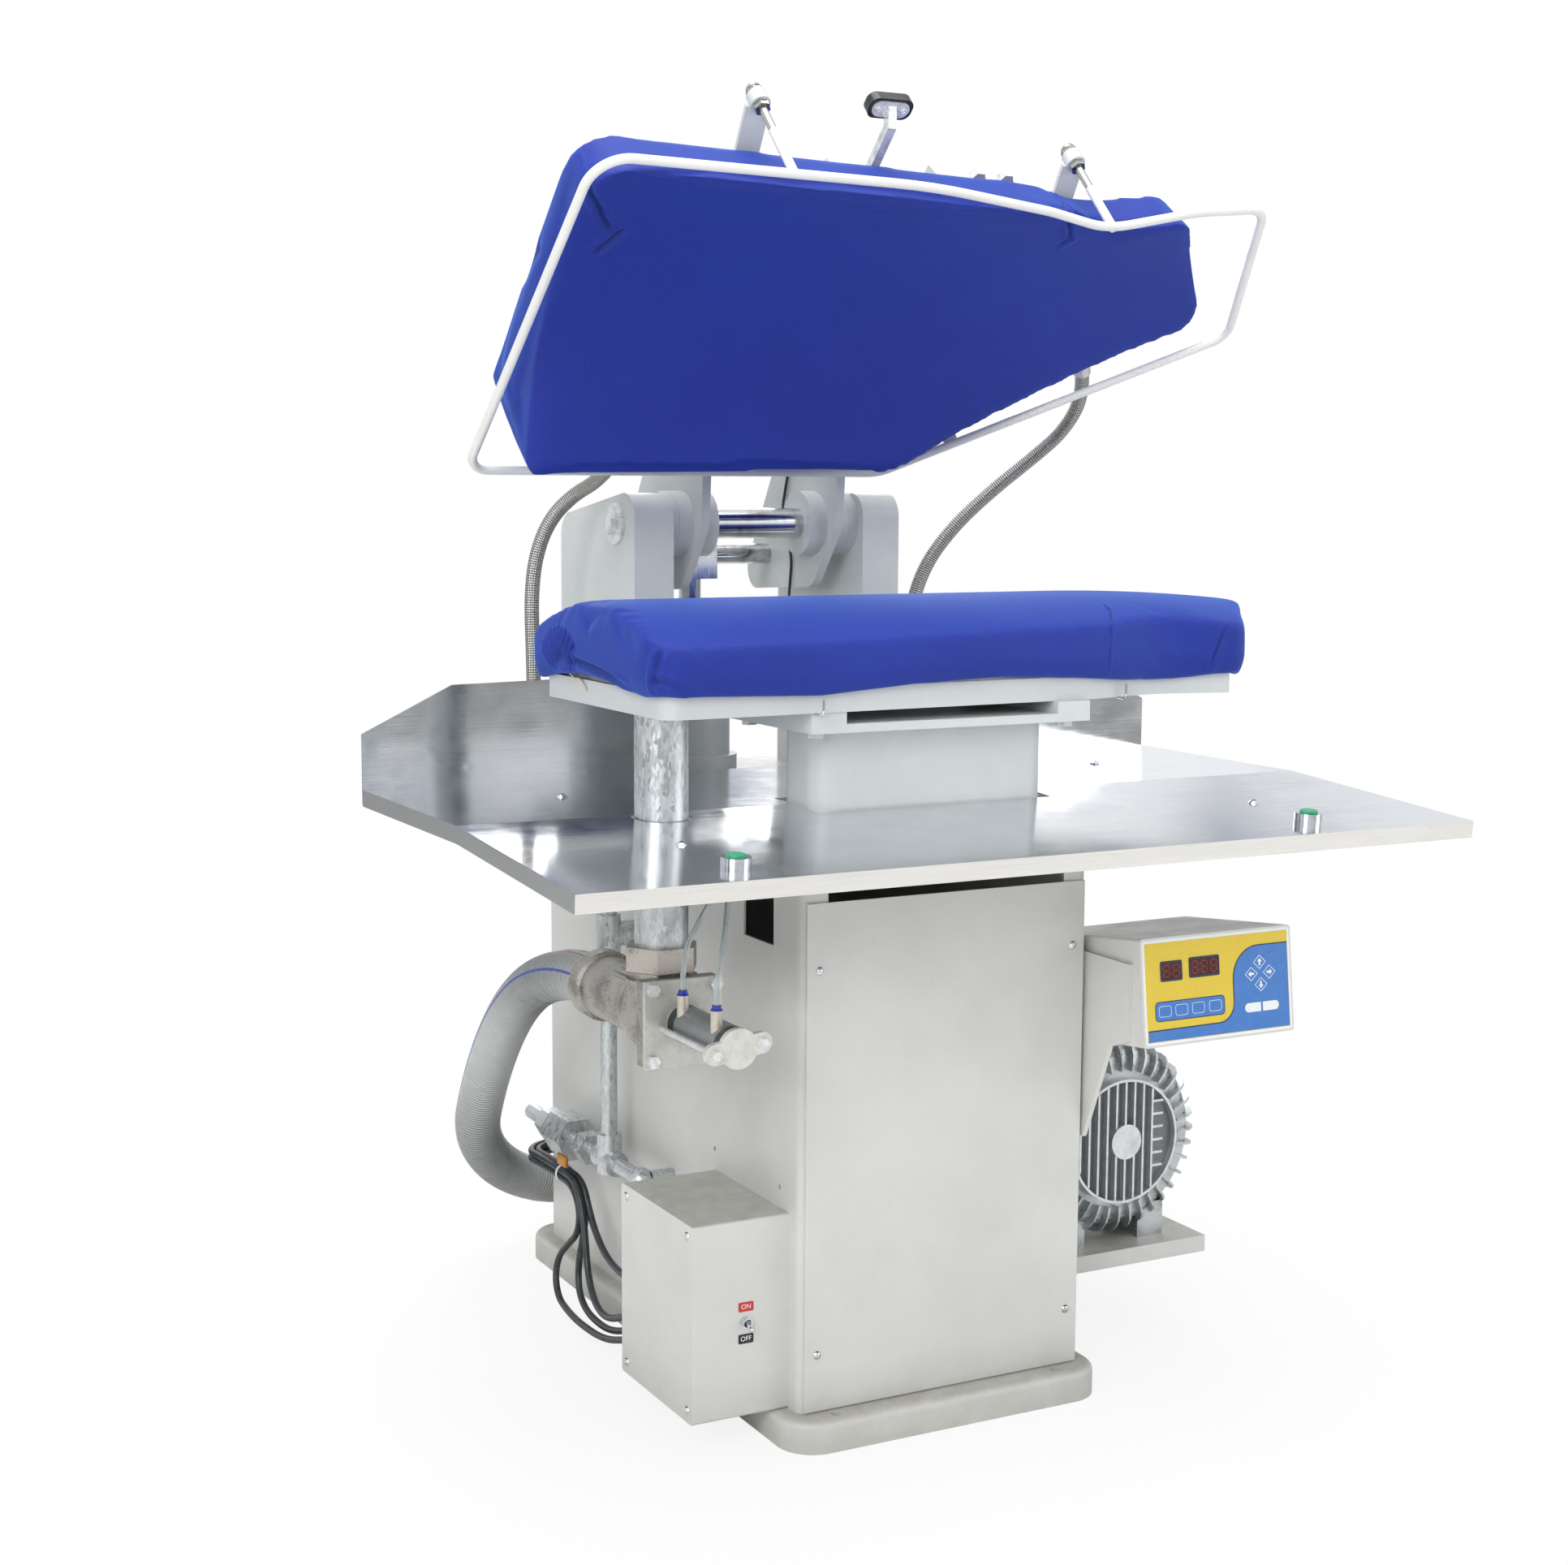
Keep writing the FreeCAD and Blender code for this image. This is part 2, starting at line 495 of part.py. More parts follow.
# Table frame welded to the deck: two cross beams, side bars, and bars that slope with the front of the table
beams = [block("beam_%d" % i, ("2 * beam_half", "beam_wide", "beam_high"), ("-beam_half", "-" + y, DECK_TOP))
         for i, y in enumerate(("beam_front", "beam_rear"))]
side_bars = []
for side, x in (("left", "-bar_inner - bar_wide"), ("right", "bar_inner")):
    flat = block("bar_flat_" + side, ("bar_wide", "table_seam - beam_rear + beam_wide", "bar_deep"),
                 (x, "-table_seam", TABLE_TOP + " - table_sheet - bar_deep"))
    slant = block("bar_slant_" + side, ("bar_wide", "bar_reach", "bar_deep"), (x, "0", "0"))
    slant.Placement.Rotation = Rotation(Vector(1, 0, 0), 1)
    slant.setExpression("Placement.Rotation.Angle", formula("table_slope"))
    drop = "(table_sheet + bar_deep)"
    bind(slant, AT[1:], ("-table_seam - bar_reach * cos(table_slope) + %s * sin(table_slope)" % drop,
                         TABLE_TOP + " - bar_reach * sin(table_slope) - %s * cos(table_slope)" % drop))
    side_bars += [flat, slant]
frame_holes = [rod("bar_hole_%d" % i, "dome_shank", "dome_grip",
                   (x, "-table_screw_rear", TABLE_TOP + " - dome_grip")) for i, x in
               enumerate(("-table_screw_x", "table_screw_x"))]
slope_holes = [on_slope(rod("bar_slope_hole_%d" % i, "dome_shank", "dome_grip", ("0", "0", "0")))
               for i in range(2)]
for hole, x in zip(slope_holes, ("-table_screw_x", "table_screw_x")):
    bind(hole, AT, (x, "-table_seam - table_screw_front * cos(table_slope) + dome_grip * sin(table_slope)",
                    TABLE_TOP + " - table_screw_front * sin(table_slope) - dome_grip * cos(table_slope)"))
bars = join("table_frame_bars", deck, *beams, *side_bars)
node("table_frame", cut("table_frame", bars, *frame_holes, *slope_holes))

# Rear sheet of the table, flat, with folded edges
rear = block("rear_outside", ("2 * table_half", "table_seam + table_rear", "table_fold"),
             ("-table_half", "-table_seam", TABLE_TOP + " - table_fold"))
rear_inside = block("rear_inside", ("2 * (table_half - table_sheet)", "table_seam + table_rear - table_sheet",
                                    "table_fold - table_sheet"),
                    ("table_sheet - table_half", "-table_seam", TABLE_TOP + " - table_fold"))
rear_cutout = block("rear_cutout",
                    ("2 * (pedestal_half + cutout_room)", "table_seam - pedestal_rear + cutout_room",
                     "table_fold"),
                    ("-pedestal_half - cutout_room", "-table_seam", TABLE_TOP + " - table_fold / 2"))
rear_holes = [rod("rear_hole_%d" % i, "dome_shank", "table_fold", (x, "-table_screw_rear",
                                                                    TABLE_TOP + " - table_fold / 2"))
              for i, x in enumerate(("-table_screw_x", "table_screw_x"))]
rear_notch = rod("rear_pipe_notch", "suction_radius + cutout_room", "2 * table_fold",
                 ("suction_x", "suction_y", TABLE_TOP + " - table_fold"))
node("table_rear", cut("table_rear", rear, rear_inside, rear_cutout, rear_notch, *rear_holes))

# Front sheet of the table, drawn flat and then laid on its slope
front = block("front_outside", ("2 * table_half", "table_front - seam_gap", "table_fold"),
              ("-table_half", "-table_front", "-table_fold"))
front_inside = block("front_inside", ("2 * (table_half - table_sheet)", "table_front - table_sheet",
                                      "table_fold - table_sheet"),
                     ("table_sheet - table_half", "table_sheet - table_front", "-table_fold"))
front_cutout = block("front_cutout", ("2 * (pedestal_half + cutout_room)",
                                      "pedestal_front - table_seam + cutout_room", "table_fold"),
                     ("-pedestal_half - cutout_room", "table_seam - pedestal_front - cutout_room",
                      "-table_fold / 2"))
pipe_hole = rod("front_pipe_hole", "suction_radius + cutout_room", "table_fold",
                ("suction_x", "suction_y + table_seam", "-table_fold / 2"))
button_holes = [rod("front_button_hole_%d" % i, "button_neck + hole_gap", "table_fold", (x, "-button_y",
                                                                                       "-table_fold / 2"))
                for i, x in enumerate(("-button_x", "button_x"))]
front_holes = [rod("front_hole_%d" % i, "dome_shank", "table_fold",
                   (x, "-table_screw_front", "-table_fold / 2"))
               for i, x in enumerate(("-table_screw_x", "table_screw_x"))]
front_sheet = group("table_front_laid", on_slope(cut("table_front_sheet", front, front_inside, front_cutout,
                                                     pipe_hole, *button_holes, *front_holes)))
seam_room = block("front_seam_room", ("2 * table_half", "table_fold", "2 * table_fold"),
                  ("-table_half", "seam_gap / -2 - table_seam", TABLE_TOP + " - table_fold"))
node("table_front", cut("table_front", front_sheet, seam_room))

# Dome screws of the table
table_screw = dome_screw(s.dome_shank, s.dome_grip, s.dome_head, s.dome_crown)
slope = math.radians(s.table_slope)
front_y = -s.table_seam - s.table_screw_front * math.cos(slope)
front_z = table_top - s.table_screw_front * math.sin(slope)
for x in (-s.table_screw_x, s.table_screw_x):
    ROUND_SCREWS.append(set_screw(table_screw, (x, -s.table_screw_rear, table_top), (0, 0, 1)))
    ROUND_SCREWS.append(set_screw(table_screw, (x, front_y, front_z), (0, -math.sin(slope), math.cos(slope))))

# Backsplash plates behind the table
splashes = []
for side, sign in (("left", "-"), ("right", "")):
    splash = start_body("splash_" + side)
    corners = [(sign + "splash_inner", TABLE_TOP + " - splash_skirt"),
               (sign + "table_half", TABLE_TOP + " - splash_skirt"),
               (sign + "table_half", TABLE_TOP + " + splash_end"),
               (sign + "splash_shoulder_x", TABLE_TOP + " + splash_shoulder"),
               (sign + "splash_inner", TABLE_TOP + " + splash_high")]
    pad(splash, sketch_on(splash, "XZ_Plane", "-table_rear - splash_sheet", corners), "splash_sheet")
    splashes.append(splash)
node("backsplashes", group("backsplash_pair", *splashes))

# Start buttons: chrome bodies through the table, and sprung caps
bodies = []
for i, x in enumerate(("-button_x", "button_x")):
    ring = rod("button_ring_%d" % i, "button_ring", "button_rise", (x, "-button_y", "0"))
    neck = rod("button_neck_%d" % i, "button_neck", "button_tail", (x, "-button_y", "-button_tail"))
    nut = rod("button_nut_%d" % i, "button_nut", "3 * table_sheet", (x, "-button_y", "-4 * table_sheet"))
    well = rod("button_well_%d" % i, "button_cap + running_gap", "2 * button_rise",
               (x, "-button_y", "-button_rise"))
    bodies.append(cut("button_body_%d" % i, join("button_solid_%d" % i, ring, neck, nut), well))
node("button_bodies", on_slope(group("button_pair", *bodies)))
for side, x in (("left", "-button_x"), ("right", "button_x")):
    cap = rod("cap_" + side, "button_cap", "button_rise + button_proud", (x, "-button_y", "0"))
    cap = round_off("cap_round_" + side, cap, s.cap_round, lambda edge: edge.BoundBox.ZMin > s.button_rise)
    node("button_cap_" + side, on_slope(cap))

# Pedestal
foot = start_body("pedestal_casting")
plan = [("-pedestal_half", "-pedestal_front"), ("pedestal_half", "-pedestal_front"),
        ("pedestal_half", "-pedestal_rear"), ("-pedestal_half", "-pedestal_rear")]
post = pad(foot, sketch_on(foot, "XY_Plane", DECK_TOP, plan), "pedestal_top - " + DECK_TOP)
round_body(foot, post, "pedestal_edge", lambda edge: along(edge, 2))
node("pedestal", foot)

# Saddle plate with raised end blocks, and the bolts up through it
plate = block("saddle_base", ("2 * saddle_half", "saddle_front - saddle_rear", "saddle_plate"),
              ("-saddle_half", "-saddle_front", "pedestal_top"))
ends = [block("saddle_end_%d" % i, ("saddle_block", "saddle_front - saddle_rear", "saddle_rise"),
              (x, "-saddle_front", "pedestal_top + saddle_plate"))
        for i, x in enumerate(("-saddle_half", "saddle_half - saddle_block"))]
SADDLE_BOLTS = [(x, y) for x in ("-saddle_bolt_x", "saddle_bolt_x")
                for y in ("saddle_bolt_inset - saddle_front", "-saddle_rear - saddle_bolt_inset")]
saddle_holes = [rod("saddle_hole_%d" % i, "saddle_bolt", "saddle_plate + saddle_rise", (x, y, "pedestal_top"))
                for i, (x, y) in enumerate(SADDLE_BOLTS)]
node("saddle_plate", cut("saddle_plate", join("saddle_solid", plate, *ends), *saddle_holes))
bolts = []
for i, (x, y) in enumerate(SADDLE_BOLTS):
    head = hexagon("saddle_bolt_head_%d" % i, "bolt_across", "bolt_head", (x, y, "pedestal_top - bolt_head"))
    shank = rod("saddle_bolt_shank_%d" % i, "saddle_bolt", "saddle_plate + saddle_rise",
                (x, y, "pedestal_top"))
    bolts.append(join("saddle_bolt_%d" % i, head, shank))
HEX_BOLTS = bolts

# Buck: the plan outline that the tray, platen and padded covers share
def plan_outline(rear_corner):
    return rounded_outline([
        (-s.buck_left, -s.buck_front, s.buck_corner),
        (s.waist_x, -s.waist_y, s.waist_round),
        (s.neck_x, -s.neck_y, s.neck_round),
        (s.nose_x, -s.nose_y, s.nose_round),
        (s.tip_x, -s.tip_y, s.tip_round),
        (s.taper_x, -s.taper_y, s.taper_round),
        (-s.buck_left, -s.buck_back, rear_corner),
    ])


buck_outline = plan_outline(s.buck_corner)
tray_outline = buck_outline.makeOffset2D(-s.tray_inset)
platen_outline = tray_outline.makeOffset2D(-s.tray_sheet - s.platen_inset)
tray_floor = saddle_top + s.tray_sheet
tray_rim = saddle_top + s.tray_high
crown_top = saddle_top + s.crown_high
crown_z = crown_top - s.crown_radius


def crown(radius):
    return bar_x(radius, -s.crown_y, crown_z)


tray_wall = prism(tray_outline.makeOffset2D(-s.tray_sheet), tray_floor, tray_rim)
suction_mouth = Part.makeCylinder(s.suction_bore, s.tray_sheet, Vector(s.suction_x, s.suction_y, saddle_top))
tray = prism(tray_outline, saddle_top, tray_rim).cut(tray_wall).cut(suction_mouth)
node("buck_tray", feature("buck_tray", tray))
platen = prism(platen_outline, tray_floor, crown_top).common(crown(s.crown_radius - s.pad_thick))
node("buck_platen", feature("buck_platen", platen))

# Padded cover of the buck: crowned, with its hem drawn in over the tray
hem = saddle_top + s.hem_rise
drawn = buck_outline.makeOffset2D(-s.hem_draw)
drawn.translate(Vector(0, 0, hem))
full = buck_outline.copy()
full.translate(Vector(0, 0, hem + s.hem_bevel))
skirt = Part.makeLoft([drawn, full], True, True)
cushion = skirt.fuse(prism(buck_outline, hem + s.hem_bevel, crown_top + s.pad_thick)).removeSplitter()
cushion = cushion.common(crown(s.crown_radius))
top_edges = [edge for edge in cushion.Edges
             if edge.BoundBox.ZMin > hem + s.hem_bevel + s.pad_round and not along(edge, 2)]
cushion = cushion.makeFillet(s.pad_round, top_edges)
room = prism(tray_outline.makeOffset2D(s.soft_gap), hem - s.hem_rise, tray_rim + s.soft_gap)
room = room.fuse(prism(platen_outline.makeOffset2D(s.soft_gap), hem, crown_top)
                 .common(crown(s.crown_radius - s.pad_thick + s.soft_gap)))
node("buck_pad", feature("buck_pad", cushion.cut(room)))

# Wire hooks that hold the hem to the tray
hooks = []
HOOKS = ((-s.hook_left, s.hook_left_inset - s.buck_front), (s.hook_right, -s.neck_y - s.hook_right_proud))
for x, y in HOOKS:
    hook_low = saddle_top - s.hook_wire - s.hole_gap
    bend = 4 * s.hook_wire
    drop = Part.LineSegment(Vector(x, y, hem - s.hole_gap), Vector(x, y, hook_low + bend))
    elbow_middle = Vector(x, y + bend * (1 - math.sqrt(0.5)), hook_low + bend * (1 - math.sqrt(0.5)))
    elbow = Part.Arc(Vector(x, y, hook_low + bend), elbow_middle, Vector(x, y + bend, hook_low))
    reach = Part.LineSegment(Vector(x, y + bend, hook_low), Vector(x, y + s.hook_reach, hook_low))
    wire = Part.Wire([edge.toShape() for edge in (drop, elbow, reach)])
    hooks.append(tube(wire, s.hook_wire, "cover hook"))
node("cover_hooks", feature("cover_hooks", Part.makeCompound(hooks)))

# Cheeks that carry the main shaft
PIVOT = ("pivot_y", "pivot_z")
for side, start, boss_start in (("left", "-cheek_outer", "-cheek_inner"),
                                ("right", "cheek_inner", "boss_face")):
    cheek = start_body("cheek_box_" + side)
    outline = [("cheek_front", DECK_TOP), ("cheek_back", DECK_TOP), ("cheek_back", "cheek_top_back"),
               ("cheek_front", "cheek_top")]
    wall = pad(cheek, sketch_on(cheek, "YZ_Plane", start, outline), "cheek_outer - cheek_inner")
    round_body(cheek, wall, "cheek_round", lambda edge: along(edge, 0) and edge.BoundBox.ZMin > deck_top + 1)
    boss = rod("cheek_boss_" + side, "boss_radius", "cheek_inner - boss_face", (boss_start,) + PIVOT, "+X")
    bearing = rod("cheek_bearing_" + side, "shaft_radius", "cheek_outer - boss_face",
                  ("-cheek_outer" if side == "left" else "boss_face",) + PIVOT, "+X")
    node("cheek_" + side, cut("cheek_" + side, join("cheek_solid_" + side, cheek, boss), bearing))

# Main shaft, with a washer and bolt at each end
node("main_shaft", rod("main_shaft", "shaft_radius", "2 * cheek_outer", ("-cheek_outer",) + PIVOT, "+X"))
for side, sign, way in (("left", "-", "-X"), ("right", "", "+X")):
    washer = rod("shaft_washer_" + side, "washer_radius", "washer_thick",
                 (sign + "cheek_outer",) + PIVOT, way)
    head = hexagon("shaft_bolt_" + side, "shaft_bolt_across", "shaft_bolt_head",
                   (sign + "(cheek_outer + washer_thick)",) + PIVOT, way)
    HEX_BOLTS.append(join("shaft_cap_" + side, washer, head))

# Lift cylinder on the deck, and its piston rod with the slotted yoke
barrel = s.cylinder_cap_high + s.cylinder_barrel
gland = barrel + s.cylinder_cap_high
section = [(0, 0), (s.cylinder_cap, 0), (s.cylinder_cap, s.cylinder_cap_high),
           (s.cylinder_outer, s.cylinder_cap_high), (s.cylinder_outer, barrel), (s.cylinder_cap, barrel),
           (s.cylinder_cap, gland), (s.rod_radius + s.running_gap, gland),
           (s.rod_radius + s.running_gap, barrel),
           (s.cylinder_bore, barrel), (s.cylinder_bore, s.cylinder_cap_high), (0, s.cylinder_cap_high)]
node("press_cylinder", feature("press_cylinder",
                               turned(section, (s.cylinder_x, s.cylinder_y, deck_top), (0, 0, 1))))
LINK_Z = "(pivot_z - (link_y - pivot_y) * sin(open_angle) + (link_z - pivot_z) * cos(open_angle))"
PISTON = "(%s + cylinder_cap_high + piston_start)" % DECK_TOP
YOKE_LOW = "(%s - link_radius - slot_room - yoke_rim)" % LINK_Z
piston = rod("lift_piston", "cylinder_bore - running_gap", "piston_high",
             ("cylinder_x", "cylinder_y", PISTON))
stem = rod("lift_stem", "rod_radius", "%s - %s" % (YOKE_LOW, PISTON), ("cylinder_x", "cylinder_y", PISTON))
yoke = block("lift_yoke",
             ("yoke_thick", "2 * (slot_half + yoke_rim)", "2 * (link_radius + slot_room + yoke_rim)"),
             ("cylinder_x - yoke_thick / 2", "cylinder_y - slot_half - yoke_rim", YOKE_LOW))
slot = block("lift_slot", ("2 * yoke_thick", "2 * slot_half", "2 * (link_radius + slot_room)"),
             ("cylinder_x - yoke_thick", "cylinder_y - slot_half", YOKE_LOW + " + yoke_rim"))
node("lift_rod", cut("lift_rod", join("lift_solid", piston, stem, yoke), slot))

# Lift arms, drawn with the head closed
ARM_SEAT = "(back_z + back_proud / cos(back_slope) + tan(back_slope) * (back_y - %s))"
for side, start, boss_start in (("left", "-arm_inner - arm_plate", "side_gap - boss_face"),
                                ("right", "arm_inner", "arm_boss_inner")):
    arm = start_body("arm_plate_" + side)
    outline = [("-arm_front_y", ARM_SEAT % "arm_front_y"), ("-arm_throat_y", ARM_SEAT % "arm_throat_y"),
               ("arm_sole_y", "arm_sole_z"), ("arm_heel_y", "arm_heel_z"), ("arm_tail_y", "arm_tail_z"),
               ("arm_crown_y", "arm_crown_z"),
               ("-arm_front_y", ARM_SEAT % "arm_front_y" + " + arm_front_depth")]
    profile = pad(arm, sketch_on(arm, "YZ_Plane", start, outline), "arm_plate")
    round_body(arm, profile, "arm_round",
               lambda edge: along(edge, 0) and edge.BoundBox.YMin > 1 - s.arm_throat_y)
    boss = rod("arm_boss_" + side, "boss_radius", "boss_face - side_gap - arm_boss_inner",
               (boss_start,) + PIVOT, "+X")
    bore = rod("arm_bore_" + side, "shaft_radius + running_gap", "2 * boss_face",
               ("-boss_face",) + PIVOT, "+X")
    eye = rod("arm_eye_" + side, "link_radius", "2 * boss_face", ("-boss_face", "link_y", "link_z"), "+X")
    solid = cut("arm_solid_" + side, join("arm_blank_" + side, arm, boss), bore, eye)
    node("arm_" + side, swing_open(solid))

# Link shaft between the arms, with end collars
link = rod("link_bar", "link_radius", "2 * (arm_inner + arm_plate + link_collar_thick)",
           ("-arm_inner - arm_plate - link_collar_thick", "link_y", "link_z"), "+X")
collars = [rod("link_collar_%d" % i, "link_collar", "link_collar_thick", (x, "link_y", "link_z"), "+X")
           for i, x in enumerate(("-arm_inner - arm_plate - link_collar_thick", "arm_inner + arm_plate"))]
node("link_shaft", swing_open(join("link_solid", link, *collars)))

# Head: the cast platen with its concave face, and the padded cover round it, drawn closed
head_outline = plan_outline(s.head_corner).makeOffset2D(s.head_overhang)
core_outline = head_outline.makeOffset2D(-s.head_pad)
rise = math.tan(math.radians(s.back_slope))
face_radius = s.crown_radius + s.press_gap
low_z = crown_top + s.press_gap - s.head_skirt
far_front = -s.buck_front - s.head_skirt


def head_side(inset, proud):
    """The head seen from the side, as a bar along X: sloping back and leaning rear wall."""
    back = s.back_z + proud / math.cos(math.radians(s.back_slope))
    top_y = -s.head_back_y - inset
    foot_y = top_y + s.head_lean
    corners = [(far_front, low_z), (far_front, back + rise * (far_front + s.back_y)),
               (top_y, back + rise * (top_y + s.back_y)), (foot_y, low_z)]
    outline = Part.makePolygon([Vector(-PAST_ENDS, y, z) for y, z in corners + corners[:1]])
    return Part.Face(outline).extrude(Vector(2 * PAST_ENDS, 0, 0))


def head_block(outline, inset, proud, radius):
    column = prism(outline, low_z, s.back_z + s.buck_front)
    return column.common(head_side(inset, proud)).cut(crown(radius))


core = head_block(core_outline, s.head_pad, s.back_proud, face_radius + s.head_pad)
node("head_platen", swing_open(feature("head_platen", core)))
core_room = head_block(core_outline.makeOffset2D(s.soft_gap), s.head_pad - s.soft_gap,
                       s.back_proud + s.pad_open, face_radius + s.head_pad - s.soft_gap)
quilt = head_block(head_outline, 0, 0, face_radius)

# Steam fittings on the head's rear, where the hoses leave it
lean = math.atan2(s.head_lean, s.back_z + rise * (s.back_y - s.head_back_y) - low_z)
left_out = Vector(0, math.cos(lean), math.sin(lean))
left_wall_y = -s.head_back_y + (s.back_z + rise * (s.back_y - s.head_back_y) - s.hose_left_z) * math.tan(lean)
left_root = Vector(s.hose_left_x, left_wall_y - s.head_pad, s.hose_left_z)
run = Vector(s.taper_x - s.tip_x, s.tip_y - s.taper_y, 0)
right_out = Vector(run.y, -run.x, 0).normalize()
right_root = Vector(s.tip_x, -s.tip_y, 0) + run * s.hose_right_along
right_root += right_out * (s.head_overhang - s.head_pad)
right_root.z = s.hose_right_z
fittings = []
for root, out in ((left_root, left_out), (right_root, right_out)):
    stem = Part.makeCylinder(s.fitting_radius, s.head_pad + s.fitting_reach, root, out)
    fittings.append(stem)
core_fittings = [stem.cut(core) for stem in fittings]
quilt = quilt.cut(core_room)
for root, out in ((left_root, left_out), (right_root, right_out)):
    quilt = quilt.cut(Part.makeCylinder(s.fitting_radius + s.soft_gap, s.head_pad + s.fitting_reach,
                                        root - out * s.fitting_radius, out))
node("head_pad", swing_open(feature("head_pad", quilt)))
node("hose_fittings", swing_open(feature("hose_fittings", Part.makeCompound(core_fittings))))

# Hand guard: a bent tube ring below the head, in the frame of the head's back
guard_low = -s.guard_plane
ring_path = rounded_outline([
    (-s.guard_left, -s.guard_front, s.guard_corner),
    (s.guard_mid_x, s.guard_mid - s.guard_front, s.guard_mid_round),
    (s.guard_waist_x, s.guard_waist - s.guard_front, s.guard_waist_round),
    (s.guard_neck_x, s.guard_neck - s.guard_front, s.guard_soft),
    (s.guard_flare_x, s.guard_flare - s.guard_front, s.guard_soft),
    (s.guard_right_x, s.guard_right - s.guard_front, s.guard_nose),
    (s.guard_tip_x, s.guard_tip - s.guard_front, s.guard_nose),
    (s.guard_taper_x, s.guard_depth - s.guard_front, s.guard_back_round),
    (-s.guard_left_back, s.guard_depth - s.guard_front, s.guard_nose),
])
ring_path.translate(Vector(0, 0, guard_low))
first = ring_path.Edges[0]
ring_section = Part.Circle(first.valueAt(first.FirstParameter), first.tangentAt(first.FirstParameter),
                           s.guard_tube)
ring = ring_path.makePipeShell([Part.Wire(ring_section.toShape())], True, False)
node("guard_ring", on_back(feature("guard_ring", ring)))


def ring_front(x):
    """Local y of the ring's front run at x."""
    stations = [(-s.guard_left, 0), (s.guard_mid_x, s.guard_mid), (s.guard_waist_x, s.guard_waist),
                (s.guard_neck_x, s.guard_neck), (s.guard_flare_x, s.guard_flare)]
    for (x0, y0), (x1, y1) in zip(stations, stations[1:]):
        if x0 <= x <= x1:
            return y0 + (y1 - y0) * (x - x0) / (x1 - x0) - s.guard_front


# Guard posts with their nuts, and the brackets that hold them
POSTS = [(-s.post_left, ring_front(-s.post_left)), (s.post_right, ring_front(s.post_right) + s.post_shift)]


def hex_nut(across, height, place):
    corners = [Vector(across / math.sqrt(3), 0, 0)]
    turn = Rotation(Vector(0, 0, 1), 60)
    for _ in range(5):
        corners.append(turn.multVec(corners[-1]))
    face = Part.Face(Part.makePolygon(corners + corners[:1]))
    return face.extrude(Vector(0, 0, height)).translate(Vector(*place))


posts = []
for x, y in POSTS:
    plain = Part.makeCylinder(s.guard_tube, s.post_plain, Vector(x, y, guard_low))
    bush_top = s.bush_low + s.bush_high
    thread = Part.makeCylinder(s.post_thread, bush_top - guard_low, Vector(x, y, guard_low))
    low_nut = hex_nut(s.post_nut_across, s.post_nut, (x, y, s.bush_low - s.post_nut))
    top_nut = hex_nut(s.post_nut_across, s.post_nut, (x, y, bush_top))
    dome = Part.makeSphere(s.dome_nut, Vector(), Vector(0, 0, 1), 0, 90, 360)
    dome.translate(Vector(x, y, bush_top + s.post_nut))
    posts.append(plain.fuse([thread, low_nut, top_nut, dome]).removeSplitter().cut(ring))
node("guard_posts", on_back(feature("guard_posts", Part.makeCompound(posts))))
brackets = []
for i, (x, y) in enumerate(POSTS):
    start = s.strip_start + i * s.strip_shift
    step = s.bush_low + s.strip_step
    end = y + s.strip_lap
    side = [(start + s.strip_foot, 0), (start, 0), (end, step), (end, step + s.strip_thick),
            (start, s.strip_thick), (start + s.strip_foot, s.strip_thick)]
    outline = Part.makePolygon([Vector(x - s.strip_wide / 2, v, w) for v, w in side + side[:1]])
    strip = Part.Face(outline).extrude(Vector(s.strip_wide, 0, 0))
    web_side = [(start + s.strip_foot, s.strip_thick), (start, s.strip_thick), (end, step + s.strip_thick),
                (end, s.bush_low + s.bush_high)]
    outline = Part.makePolygon([Vector(x - s.strip_web / 2, v, w) for v, w in web_side + web_side[:1]])
    web = Part.Face(outline).extrude(Vector(s.strip_web, 0, 0))
    bush = Part.makeCylinder(s.bush_radius, s.bush_high, Vector(x, y, s.bush_low))
    hole = Part.makeCylinder(s.post_thread, 4 * s.bush_high, Vector(x, y, 0))
    brackets.append(strip.fuse([web, bush]).removeSplitter().cut(hole))

# Rear stay of the guard, from the head's back over to the ring
stay_side = [(s.stay_back - s.stay_foot, 0), (s.stay_back - s.strip_thick, 0),
             (s.stay_back - s.strip_thick, s.guard_tube - s.guard_plane),
             (s.stay_back, s.guard_tube - s.guard_plane), (s.stay_back, s.strip_thick),
             (s.stay_back - s.stay_foot, s.strip_thick)]
outline = Part.makePolygon([Vector(s.stay_x - s.stay_wide / 2, v, w) for v, w in stay_side + stay_side[:1]])
brackets.append(Part.Face(outline).extrude(Vector(s.stay_wide, 0, 0)))
node("guard_brackets", on_back(feature("guard_brackets", Part.makeCompound(brackets))))

# Pull handle: a square bar bent up at its end, and the grip pad on it
bend = math.radians(s.handle_bend)
end_foot = -s.handle_reach - s.handle_rise / math.tan(bend)
inner = s.handle_thick * math.tan(bend / 2) - s.handle_reach
end_inner = inner - (s.handle_rise - s.handle_thick) / math.tan(bend)
bar_side = [(s.handle_foot, 0), (-s.handle_reach, 0), (end_foot, s.handle_rise), (end_inner, s.handle_rise),
            (inner, s.handle_thick), (s.handle_foot, s.handle_thick)]
bar_start = s.handle_x - s.handle_wide / 2
outline = Part.makePolygon([Vector(bar_start, v, w) for v, w in bar_side + bar_side[:1]])
bar = Part.Face(outline).extrude(Vector(s.handle_wide, 0, 0))
node("handle_bar", on_back(feature("handle_bar", bar)))
grip_corner = Vector(s.handle_x - s.grip_long / 2, (end_foot + end_inner - s.grip_deep) / 2, s.handle_rise)
grip = Part.makeBox(s.grip_long, s.grip_deep, s.grip_thick, grip_corner)
